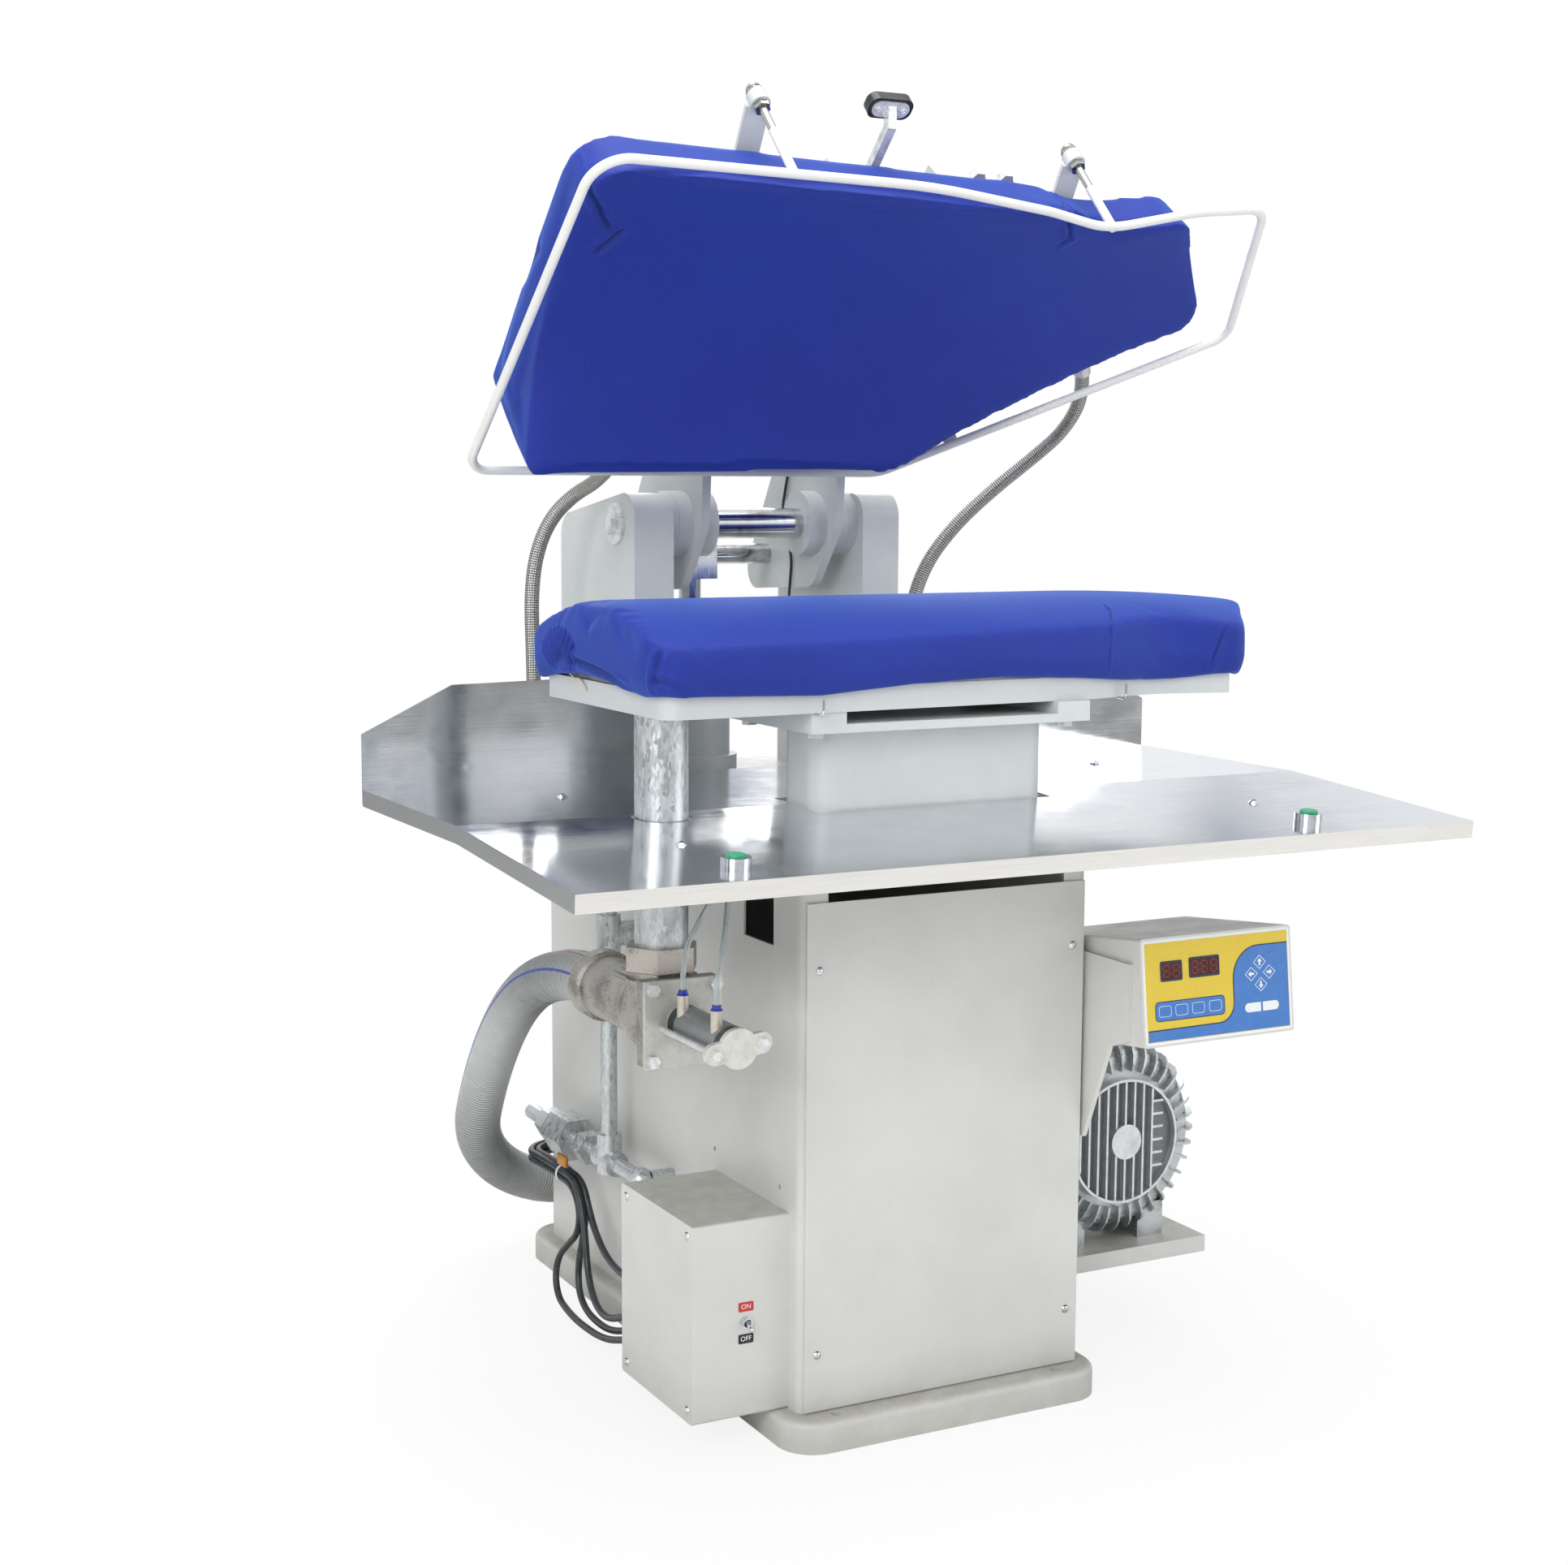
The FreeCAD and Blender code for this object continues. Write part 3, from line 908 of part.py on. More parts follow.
grip = grip.makeFillet(s.grip_round, [edge for edge in grip.Edges if along(edge, 2)])
top = [edge for edge in grip.Edges if edge.BoundBox.ZMin > s.handle_rise + s.grip_edge]
node("handle_grip", on_back(feature("handle_grip", grip.makeFillet(s.grip_edge, top))))

# Bolts on the head's back
studs = [hexagon("stud_%d" % i, "stud_across", "stud_head", (x, "stud_inset", "0"))
         for i, x in enumerate(("stud_left", "stud_right", "stud_end"))]
node("head_studs", on_back(group("head_stud_group", *studs)))


# Steam hoses, lying as the head rests open
def opened(point):
    """A point of the closed head, where it is at rest."""
    turn = Rotation(Vector(1, 0, 0), -s.open_angle)
    pivot = Vector(0, s.pivot_y, s.pivot_z)
    return turn.multVec(point - pivot) + pivot


left_mouth = opened(left_root + left_out * (s.head_pad + s.fitting_reach))
right_mouth = opened(right_root + right_out * (s.head_pad + s.fitting_reach))
left_way = opened(left_root + left_out * 2 * (s.head_pad + s.fitting_reach)) - left_mouth
right_way = opened(right_root + right_out * 2 * (s.head_pad + s.fitting_reach)) - right_mouth
HOSE_LEFT = [
    tuple(left_mouth), tuple(left_mouth + left_way * 0.6), (-222, 124, 1106), (-240, 162, 1088),
    (-266, 180, 1056), (-284, 185, 1010), (-291, 184, 955), (-290, 182, 890), (-289.5, 180.5, 825),
    (s.inlet_x, s.inlet_y, 765), (s.inlet_x, s.inlet_y - 0.6, s.inlet_high),
]
left_path = route(HOSE_LEFT, "left steam hose", s.hose_radius)
node("steam_hose_left", feature("steam_hose_left", tube(left_path, s.hose_radius, "left steam hose")))
HOSE_RIGHT = [
    tuple(right_mouth), tuple(right_mouth + right_way * 0.8), (420, 18, 1176), (394, 58, 1138),
    (354, 92, 1096), (308, 118, 1046), (273, 138, 990), (257, 148, 925), (s.outlet_x, s.outlet_y, 872),
    (s.outlet_x, s.outlet_y - 0.6, s.outlet_high),
]
right_path = route(HOSE_RIGHT, "right steam hose", s.hose_radius)
node("steam_hose_right", feature("steam_hose_right", tube(right_path, s.hose_radius, "right steam hose")))


# Elbows that the hoses end in: one on the column's left wall, one on the right cheek
def hose_elbow(name, x, y, low, high, wall, way):
    drop = rod(name + "_stub", "fitting_radius", "%s - %s" % (high, low), (x, y, low))
    nut = hexagon(name + "_nut", "fitting_across", "fitting_nut", (x, y, "%s - fitting_nut" % high))
    across = rod(name + "_run", "fitting_radius", "abs(%s - (%s))" % (x, wall), (wall, y, low), way)
    corner = doc.addObject("Part::Sphere", name + "_corner")
    bind(corner, ("Radius",) + AT, ("fitting_radius", x, y, low))
    return join(name, drop, nut, across, corner)


inlet = hose_elbow("hose_inlet", "inlet_x", "inlet_y", "inlet_low", "inlet_high", "-column_half", "-X")
outlet = hose_elbow("hose_outlet", "outlet_x", "outlet_y", "outlet_low", "outlet_high", "cheek_outer", "+X")
node("hose_elbows", group("hose_elbow_pair", inlet, outlet))

# Suction pipe, union nut and valve casting with its hose flange, below the tray
PIPE = ("suction_x", "suction_y")
RUN = ("suction_x", "-valve_back", "valve_z")
RUN_START = ("suction_x", "-valve_front", "valve_z")
pipe_high = "%s - suction_low" % SADDLE_TOP
pipe = rod("suction_tube", "suction_radius", pipe_high, PIPE + ("suction_low",))
pipe_bore = rod("suction_tube_bore", "suction_bore", pipe_high, PIPE + ("suction_low",))
node("suction_pipe", cut("suction_pipe", pipe, pipe_bore))
union = hexagon("union_hexagon", "union_across", "union_high - union_low", PIPE + ("union_low",))
union_bore = rod("union_bore", "suction_radius", "union_high - union_low", PIPE + ("union_low",))
node("union_nut", cut("union_nut", union, union_bore))
neck = rod("valve_neck_outside", "valve_neck", "union_low - valve_z", PIPE + ("valve_z",))
run = rod("valve_run", "valve_radius", "valve_front - valve_back", RUN_START, "+Y")
collar = rod("valve_collar", "flange_radius", "flange_thick / 2",
             ("suction_x", "-valve_back - flange_thick / 2", "valve_z"), "+Y")
neck_seat = rod("valve_neck_seat", "suction_radius", "union_low - suction_low", PIPE + ("suction_low",))
neck_bore = rod("valve_neck_bore", "suction_bore", "union_low - valve_z", PIPE + ("valve_z",))
run_bore = rod("valve_run_bore", "valve_bore", "valve_front - valve_back", RUN_START, "+Y")
flange = rod("flange_disc", "flange_radius", "flange_thick / 2", RUN, "+Y")
stub = rod("flange_tail", "flange_stub", "2 * flange_thick", RUN, "+Y")
flange_bore = rod("flange_bore", "flange_stub - flange_wall", "2 * flange_thick", RUN, "+Y")
valve = join("valve_solid", neck, run, collar, flange, stub)
node("valve_body", cut("valve_body", valve, neck_seat, neck_bore, run_bore, flange_bore))

# Square plate on the valve's front, with its bolts
plate_y = "-valve_front - plate_thick"
plate = block("valve_plate_block", ("2 * plate_half_x", "plate_thick", "2 * plate_half_z"),
              ("suction_x - plate_half_x", plate_y, "valve_z - plate_half_z"))
PLATE_BOLTS = [(x, z) for x in ("suction_x - plate_bolt_x", "suction_x + plate_bolt_x")
               for z in ("valve_z - plate_bolt_z", "valve_z + plate_bolt_z")]
plate_holes = [rod("plate_hole_%d" % i, "plate_bolt", "plate_thick", (x, plate_y, z), "+Y")
               for i, (x, z) in enumerate(PLATE_BOLTS)]
plate_bore = rod("plate_bore", "plug_rod + running_gap", "plate_thick",
                 ("suction_x", plate_y, "valve_z"), "+Y")
TIES = [("suction_x - tie_offset * cos(tie_turn)", "valve_z - tie_offset * sin(tie_turn)"),
        ("suction_x + tie_offset * cos(tie_turn)", "valve_z + tie_offset * sin(tie_turn)")]
ear_y = plate_y + " - air_long - ear_thick"
plate = cut("valve_plate", plate, plate_bore, *plate_holes)
for i, (x, z) in enumerate(PLATE_BOLTS):
    head = hexagon("plate_bolt_head_%d" % i, "plate_bolt_across", "plate_bolt_head", (x, plate_y, z), "-Y")
    shank = rod("plate_bolt_shank_%d" % i, "plate_bolt", "plate_thick", (x, plate_y, z), "+Y")
    HEX_BOLTS.append(join("plate_bolt_%d" % i, head, shank))
for i, (x, z) in enumerate(TIES):
    HEX_BOLTS.append(hexagon("tie_nut_%d" % i, "tie_nut_across", "tie_nut", (x, ear_y, z), "-Y"))
node("hex_bolts", group("hex_bolts", *HEX_BOLTS))

# Air cylinder on the plate: barrel, end flange with two ears, and tie rods
air = rod("air_barrel", "air_radius", "air_long", ("suction_x", plate_y, "valve_z"), "-Y")
bar = Part.makeBox(2 * s.tie_offset, s.ear_thick, 2 * s.ear_high, Vector(-s.tie_offset, 0, -s.ear_high))
ear_front = -s.valve_front - s.plate_thick - s.air_long - s.ear_thick
bar.Placement = Placement(Vector(s.suction_x, ear_front, s.valve_z), Rotation(Vector(0, 1, 0), -s.tie_turn))
ear_ends = [rod("air_ear_%d" % i, "ear_high", "ear_thick", (x, ear_y, z), "+Y")
            for i, (x, z) in enumerate(TIES)]
ear = join("air_ears", feature("air_ear_bar", bar), *ear_ends)
ear_disc = rod("air_end", "air_radius + ear_rim", "ear_thick",
               ("suction_x", plate_y + " - air_long", "valve_z"), "-Y")
air_bore = rod("air_bore", "air_bore", "air_long", ("suction_x", plate_y, "valve_z"), "-Y")
ties = [rod("tie_%d" % i, "tie_rod", "air_long", (x, plate_y, z), "-Y") for i, (x, z) in enumerate(TIES)]
air = cut("air_cylinder", join("air_solid", air, ear, ear_disc, *ties), air_bore)
node("valve_actuator", join("valve_actuator", plate, air))

# Plug of the valve, on a rod from the air cylinder's piston
plug = rod("plug_disc", "plug_disc", "plug_thick", ("suction_x", "plug_start - valve_front", "valve_z"), "+Y")
piston_at = ("suction_x", plate_y + " - air_long / 2", "valve_z")
plug_rod = rod("plug_rod", "plug_rod", "plug_start + plate_thick + air_long / 2", piston_at, "+Y")
plug_piston = rod("plug_piston", "air_bore - running_gap", "plug_thick", piston_at, "-Y")
node("valve_plug", join("valve_plug", plug, plug_rod, plug_piston))

# Push-in fittings on the air cylinder, and the small air valve under the deck
pushes = []
PUSH_Y = ("-valve_front - plate_thick - push_back", "-valve_front - plate_thick - air_long + push_front")
for i, y in enumerate(PUSH_Y):
    place = ("suction_x - push_side", y, "valve_z + air_radius / 2")
    top_place = place[:2] + (place[2] + " + push_high + push_side",)
    stem = rod("push_stem_%d" % i, "push_radius", "push_high + push_side", place)
    top = rod("push_collar_%d" % i, "push_collar", "push_top", top_place)
    seat = rod("push_seat_%d" % i, "air_radius", "air_long", ("suction_x", plate_y, "valve_z"), "-Y")
    pushes.append(cut("push_seated_%d" % i, join("push_%d" % i, stem, top), seat))
air_valve = block("air_valve", ("air_valve_long", "air_valve_wide", "air_valve_high"),
                  ("air_valve_x - air_valve_long / 2", "air_valve_y - air_valve_wide / 2",
                   "column_top - air_valve_high"))
node("air_fittings", group("air_fittings", *pushes, air_valve))

# Air tubes from the cylinder up through the column's notch to the valve under the deck
tube_x = s.suction_x - s.push_side
tube_foot = s.valve_z + s.air_radius / 2 + s.push_high + s.push_side + s.push_top
back_y = -s.valve_front - s.plate_thick - s.push_back
lead_y = -s.valve_front - s.plate_thick - s.air_long + s.push_front
valve_low = s.column_top - s.air_valve_high
valve_side = s.air_valve_x - s.air_valve_long / 2
tubes = []
for label, y, shift in (("rear air tube", back_y, 0), ("front air tube", lead_y, 1)):
    points = [(tube_x, y, tube_foot), (tube_x, y, tube_foot + 22), (tube_x + 12, y + 14, tube_foot + 48),
              (tube_x + 42, y + 40 + 24 * shift, tube_foot + 72), (-262, -330 - 6 * shift, 668 - 8 * shift),
              (-228, -296 - 2 * shift, 676 - 8 * shift),
              (-204, s.air_valve_y + 8 - 16 * shift, 677 - 8 * shift),
              (valve_side, s.air_valve_y + 8 - 16 * shift, 677 - 7 * shift)]
    tubes.append(tube(route(points, label, s.tube_radius), s.tube_radius, label))
node("air_tubes", feature("air_tubes", Part.makeCompound(tubes)))

# Suction hose: from the valve, down and round behind the column to the blower's port
hose_start = -s.valve_back + s.flange_thick / 2 + s.soft_gap
port_end = -s.blower_front + s.fin_high + s.blower_deep + s.soft_gap
SUCTION_HOSE = [
    (s.suction_x, hose_start, s.valve_z), (s.suction_x, -80, s.valve_z), (-338, 42, 484), (-337, 132, 434),
    (-334, 210, 366), (-330, 277, 287), (-320, 340, 204), (-258, 398, 130), (-160, 432, 87), (-60, 492, 84),
    (74, 499, 88), (187, 443, 104), (s.port_x, 333, 132), (s.port_x, 215, 160), (s.port_x, 110, 181),
    (s.port_x, 0, s.port_z), (s.port_x, port_end + 66, s.port_z + 0.4), (s.port_x, port_end, s.port_z),
]
hose_path = route(SUCTION_HOSE, "suction hose", s.suction_hose)


def ring_at(wire, distance, radius):
    """A circle across the wire at a distance along it, turned the same way all along."""
    for edge in wire.OrderedEdges:
        if distance <= edge.Length:
            break
        distance -= edge.Length
    parameter = edge.getParameterByLength(min(distance, edge.Length))
    if edge.Orientation == "Reversed":
        parameter = edge.getParameterByLength(edge.Length - min(distance, edge.Length))
    place = edge.valueAt(parameter)
    way = edge.tangentAt(parameter)
    steady = Vector(0, 0, 1)
    side = (steady - way * steady.dot(way)).normalize()
    turn = Rotation(side, way.cross(side), way, "XYZ")
    circle = Part.makeCircle(radius)
    circle.Placement = Placement(place, turn)
    return Part.Wire(circle)


cuff = 2 * s.suction_hose
pitch = (hose_path.Length - 2 * cuff) / s.hose_ribs
rings = [ring_at(hose_path, 0, s.suction_hose)]
for rib in range(int(s.hose_ribs)):
    for share, depth in ((0.0, 0), (0.45, 0), (0.6, 1), (0.85, 1)):
        rings.append(ring_at(hose_path, cuff + pitch * (rib + share), s.suction_hose - depth * s.hose_groove))
rings.append(ring_at(hose_path, hose_path.Length - cuff, s.suction_hose))
rings.append(ring_at(hose_path, hose_path.Length, s.suction_hose))
outside = Part.makeLoft(rings, True, True)
bore_path = tube(hose_path, s.suction_hose - s.suction_hose_wall, "suction hose bore")
node("suction_hose", feature("suction_hose", outside.cut(bore_path)))

# Steam riser with its fittings along the column's left wall
RISER = ("riser_x", "riser_y")
FRONT = ("riser_x", "riser_front", "riser_low")
to_wall = "-column_half - riser_x"
riser = rod("riser_tube", "riser_pipe", "riser_top - riser_low", RISER + ("riser_low",))
back_run = rod("riser_back_run", "riser_pipe", "riser_back - riser_y", RISER + ("riser_low",), "+Y")
front_run = rod("riser_front_run", "riser_pipe", "riser_y - riser_front", FRONT, "+Y")
wall_run = rod("riser_wall_run", "riser_pipe", to_wall, FRONT, "+X")
tee_up = rod("tee_upright", "tee_radius", "2 * tee_half", RISER + ("riser_tee - tee_half",))
tee_side = rod("tee_branch", "tee_radius", to_wall, RISER + ("riser_tee",), "+X")
low_up = rod("low_tee_upright", "tee_radius", "2 * tee_half", RISER + ("riser_low - tee_radius",))
low_side = rod("low_tee_branch", "tee_radius", "2 * tee_half",
               ("riser_x", "riser_y - tee_half", "riser_low"), "+Y")
UNIONS = ("riser_y + 2 * tee_half", "riser_y + 7 * tee_half")
unions = [hexagon("riser_union_%d" % i, "riser_union_across", "tee_half", ("riser_x", y, "riser_low"), "+Y")
          for i, y in enumerate(UNIONS)]
valve_block = hexagon("riser_valve", "valve_block_across", "valve_block_long",
                      ("riser_x", "riser_y + 4 * tee_half", "riser_low"), "+Y")
elbow_ball = doc.addObject("Part::Sphere", "riser_elbow")
bind(elbow_ball, ("Radius",) + AT, ("tee_radius", "riser_x", "riser_front", "riser_low"))
riser_cap = hexagon("riser_cap", "riser_cap_across", "riser_cap", RISER + ("riser_top - riser_cap",))
node("steam_pipework", join("steam_pipework", riser, back_run, front_run, wall_run, tee_up, tee_side,
                            low_up, low_side, *unions, valve_block, elbow_ball, riser_cap))

# Switch box on the left wall: a folded box, its cover with screws, and the toggle switch
box_size = ("box_left - column_half", "box_front - box_back", "box_high - box_low")
case = block("switch_case", box_size, ("-box_left", "-box_front", "box_low"))
case = round_off("switch_case_rounded", case, s.box_corner, lambda edge: along(edge, 0))
hollow = block("switch_hollow", ("box_left - column_half - box_wall", "box_front - box_back - 2 * box_wall",
                                 "box_high - box_low - 2 * box_wall"),
               ("-box_left", "box_wall - box_front", "box_low + box_wall"))
toggle_seat = rod("toggle_seat", "toggle_bush", "2 * box_wall",
                  ("toggle_x", "-box_front - box_wall / 2", "toggle_z"), "+Y")
glands = []
for i, side in enumerate("-+-+"):
    place = ("gland_x %s gland_stagger" % side, "-box_back", "gland_z + %d * gland_step" % i)
    glands.append(rod("gland_%d" % i, "gland_radius", "gland_long", place, "+Y"))


def gland_run(number):
    """The last run of a cable: straight into its gland."""
    x = s.gland_x + (s.gland_stagger if number % 2 else -s.gland_stagger)
    z = s.gland_z + number * s.gland_step
    mouth = s.gland_long - s.box_back
    return [(x, mouth + s.gland_lead, z), (x, mouth, z)]


node("switch_box", cut("switch_box", join("switch_shell", case, *glands), hollow, toggle_seat))
cover = block("switch_cover_sheet", ("cover_sheet", "box_front - box_back", "box_high - box_low"),
              ("-box_left - cover_sheet", "-box_front", "box_low"))
cover = round_off("switch_cover_rounded", cover, s.box_corner, lambda edge: along(edge, 0))
COVER_SCREWS = [(y, z) for y in ("cover_screw_inset - box_front", "-box_back - cover_screw_inset")
                for z in ("box_low + cover_screw_inset", "box_high - cover_screw_inset")]
cover_holes = [rod("cover_hole_%d" % i, "screw_shank", "cover_sheet", ("-box_left - cover_sheet", y, z), "+X")
               for i, (y, z) in enumerate(COVER_SCREWS)]
node("switch_cover", cut("switch_cover", cover, *cover_holes))
cover_screw = dome_screw(s.screw_shank, s.cover_sheet, s.screw_head, s.screw_crown)
for y in (s.cover_screw_inset - s.box_front, -s.box_back - s.cover_screw_inset):
    for z in (s.box_low + s.cover_screw_inset, s.box_high - s.cover_screw_inset):
        ROUND_SCREWS.append(set_screw(cover_screw, (-s.box_left - s.cover_sheet, y, z), (-1, 0, 0)))
node("dome_screws", feature("dome_screws", Part.makeCompound(ROUND_SCREWS)))
bush = rod("toggle_bush_tube", "toggle_bush", "toggle_bush_high + box_wall + toggle_tail",
           ("toggle_x", "-box_front - toggle_bush_high", "toggle_z"), "+Y")
nut = hexagon("toggle_nut_hexagon", "toggle_nut", "toggle_nut_high",
              ("toggle_x", "-box_front", "toggle_z"), "-Y")
throat = doc.addObject("Part::Cone", "toggle_throat")
throat.Placement = Placement(Vector(), WAYS["-Y"])
bind(throat, ("Radius1", "Radius2", "Height") + AT,
     ("toggle_lever + running_gap", "toggle_bush - throat_rim", "toggle_bush_high + box_wall + throat_rim",
      "toggle_x", "-box_front + box_wall", "toggle_z"))
pin_room = rod("toggle_pin_room", "toggle_pin + running_gap", "2 * (toggle_pin_half + running_gap)",
               ("toggle_x - toggle_pin_half - running_gap", "box_wall - box_front", "toggle_z"), "+X")
node("switch_bush", cut("switch_bush", join("toggle_bush_solid", bush, nut), throat, pin_room))
root = "(box_wall - box_front - toggle_root)"
lever = rod("toggle_lever_stem", "toggle_lever", "toggle_long", ("toggle_x", root, "toggle_z"), "-Y")
pin = rod("toggle_pin_bar", "toggle_pin", "2 * toggle_pin_half",
          ("toggle_x - toggle_pin_half", "box_wall - box_front", "toggle_z"), "+X")
knob = doc.addObject("Part::Sphere", "toggle_knob")
bind(knob, ("Radius",) + AT, ("toggle_knob", "toggle_x", root + " - toggle_long", "toggle_z"))
lever = join("toggle_lever_solid", lever, pin, knob)
lever.Placement = Placement(Vector(), Rotation(Vector(1, 0, 0), 1))
lever.setExpression("Placement.Rotation.Angle", formula("toggle_tilt"))
hinge_y = "(box_wall - box_front)"
bind(lever, AT[1:], ("%s - %s * cos(toggle_tilt) + toggle_z * sin(toggle_tilt)" % (hinge_y, hinge_y),
                     "toggle_z - %s * sin(toggle_tilt) - toggle_z * cos(toggle_tilt)" % hinge_y))
node("switch_lever", lever)

# Cables: out of the column's wall, over together, then hanging in four loops to the back of the switch box
LOOPS = [
    [(-251, 136, 112), (-254, 162, 91), (-257, 190, 66), (-260, 195, 36), (-263, 176, 13), (-266, 138, 8),
     (-270, 84, 7.5), (-272, 0, 14), (-273, -72, 38)],
    [(-243, 138, 104), (-246, 146, 70), (-250, 138, 38), (-254, 112, 22), (-257, 72, 16), (-259, 6, 20),
     (-258, -66, 48)],
    [(-252, 108, 112), (-254, 98, 80), (-258, 76, 54), (-263, 42, 40), (-268, -4, 42), (-271, -66, 66)],
    [(-242, 96, 122), (-244, 60, 104), (-248, 10, 98), (-254, -62, 106)],
]
BUNDLE = [(1, -1), (-1, -1), (1, 1), (-1, 1)]
EIGHTH = math.tan(math.radians(22.5))
cables = []
for i, ((side, level), loop) in enumerate(zip(BUNDLE, LOOPS)):
    out, up = side * s.cord_apart / 2, level * s.cord_apart / 2
    start = -s.column_half + s.column_wall
    turn = s.cord_turn
    arch_x = start - turn - s.cord_exit - out
    arch = [(start, s.cable_y + out, s.cable_z + up),
            (start - s.cord_exit - out * EIGHTH, s.cable_y + out, s.cable_z + up + 0.3),
            (arch_x, s.cable_y - turn + out * EIGHTH, s.cable_z + up + 1),
            (arch_x + 1, 262, s.cable_z + up + 3), (arch_x + 1, 192, s.cable_z + up + 4),
            (arch_x + 2, 147 - up, s.cable_z + up + 1),
            (arch_x + 2, 124 - up, s.cable_z - 30)]
    label = "cable %d" % (i + 1)
    path = route(arch + loop + gland_run(i), label, s.cord_radius)
    cables.append(tube(path, s.cord_radius, label))
node("power_cables", feature("power_cables", Part.makeCompound(cables)))

# Control box, tilted to the operator, on a bracket at the column's right wall
CONTROL = ("control_left", "-control_front", "control_top")


def on_control(piece):
    """Places a piece drawn with its origin at the top of the control box's front, at the left."""
    piece.Placement = Placement(Vector(), Rotation(Vector(1, 0, 0), 1))
    piece.setExpression("Placement.Rotation.Angle", formula("-control_tilt"))
    bind(piece, AT, CONTROL)
    return piece


case = block("control_case", ("control_wide", "control_deep", "control_high"), ("0", "0", "-control_high"))
case = round_off("control_case_rounded", case, s.box_corner, lambda edge: along(edge, 1))
node("control_box", on_control(case))
face = block("control_face_sheet",
             ("control_wide - 2 * face_margin", "face_thick", "control_high - 2 * face_margin"),
             ("face_margin", "-face_thick", "face_margin - control_high"))
node("control_face", on_control(group("control_overlay", face)))
gusset = start_body("control_gusset")
outline = [("-bracket_back", "bracket_low"), ("-column_front", "bracket_low"),
           ("-bracket_step_y", "bracket_step_z"), ("-bracket_nose", "bracket_step_z + bracket_lip"),
           ("-bracket_nose", "bracket_top"), ("-bracket_back", "bracket_top")]
pad(gusset, sketch_on(gusset, "YZ_Plane", "column_half", outline), "control_left - column_half")
node("control_bracket", gusset)

# Blower shelf on the column's right wall
shelf = block("shelf_sheet", ("shelf_right - column_half", "shelf_front + shelf_back", "shelf_plate"),
              ("column_half", "-shelf_front", "shelf_top - shelf_plate"))
lip = block("shelf_lip_sheet", ("shelf_right - column_half", "shelf_plate", "shelf_lip"),
            ("column_half", "-shelf_front", "shelf_top - shelf_lip"))
flank = block("shelf_flank_sheet", ("shelf_plate", "shelf_front + shelf_back", "shelf_lip"),
              ("shelf_right - shelf_plate", "-shelf_front", "shelf_top - shelf_lip"))
wall = block("shelf_wall_sheet", ("shelf_plate", "shelf_front + shelf_back", "shelf_brace"),
             ("column_half", "-shelf_front", "shelf_top - shelf_brace"))
node("blower_shelf", join("blower_shelf", shelf, lip, flank, wall))

# Blower housing: a ring with radial fins and a chamber, built round its own axis
housing = start_body("blower_ring")
ROUND_STEPS = (0, 22.5, 45, 67.5, 90)
HALF = [("blower_inner", "0")]
for angle in ROUND_STEPS:
    HALF.append(("blower_ring - blower_round * (1 - sin(%s))" % angle,
                 "blower_round * (1 - cos(%s))" % angle))
for angle in ROUND_STEPS:
    HALF.append(("blower_ring - blower_round * (1 - cos(%s))" % angle,
                 "blower_deep - blower_round * (1 - sin(%s))" % angle))
HALF += [("spindle + running_gap", "blower_deep"),
         ("spindle + running_gap", "fin_high + lid_thick + chamber_deep"),
         ("chamber_radius", "fin_high + lid_thick + chamber_deep"),
         ("chamber_radius", "lid_thick"), ("blower_inner", "lid_thick")]
profile = sketch_on(housing, "XZ_Plane", "0", HALF)
spun = housing.newObject("PartDesign::Revolution", "blower_ring_revolution")
spun.Profile = profile
spun.ReferenceAxis = (profile, ["V_Axis"])
spun.Angle = 360
doc.recompute()
fin_side = [("fin_start", "-fin_high")]
for angle in ROUND_STEPS:
    fin_side.append(("blower_radius - fin_round * (1 - sin(%s))" % angle,
                     "fin_round * (1 - cos(%s)) - fin_high" % angle))
fin_side += [("blower_radius", "fin_run"), ("blower_ring - blower_round / 2", "fin_run"),
             ("blower_ring - blower_round / 2", "0"), ("fin_start", "0")]
fin = pad(housing, sketch_on(housing, "XZ_Plane", "-fin_thick / 2", fin_side), "fin_thick")
fan = housing.newObject("PartDesign::PolarPattern", "blower_fins")
fan.Originals = [fin]
fan.Axis = (profile, ["V_Axis"])
fan.Angle = 360
fan.setExpression("Occurrences", formula("fin_count"))
housing.Tip = fan
doc.recompute()


def on_blower(piece, y="0"):
    """Places a piece drawn round +Z, with z running rearwards from the blower's front ring."""
    piece.Placement = Placement(Vector(), Rotation(Vector(1, 0, 0), -90))
    bind(piece, AT, ("blower_x", "-blower_front + fin_high + (%s)" % y, "blower_z"))
    return piece


on_blower(housing)
feet = []
for i, x in enumerate(("blower_x - foot_half - foot_wide / 2", "blower_x + foot_half - foot_wide / 2")):
    feet.append(block("blower_leg_%d" % i, ("foot_wide", "foot_deep", "blower_z - shelf_top - foot_top"),
                      (x, "-blower_front + 2 * fin_high", "shelf_top")))
PORT = ("port_x", "-blower_front + fin_high + port_start", "port_z")
port = rod("blower_port", "port_radius", "blower_deep - port_start + port_long", PORT, "+Y")
port_block = rod("blower_port_boss", "port_radius + port_boss", "blower_deep - port_start - fin_high",
                 PORT, "+Y")
chamber = rod("blower_chamber_room", "chamber_radius", "chamber_deep + fin_high",
              ("blower_x", "-blower_front + fin_high + lid_thick", "blower_z"), "+Y")
feet_solid = cut("blower_feet_cut", join("blower_feet", *feet, port, port_block), chamber)
node("blower_housing", join("blower_housing", housing, feet_solid))

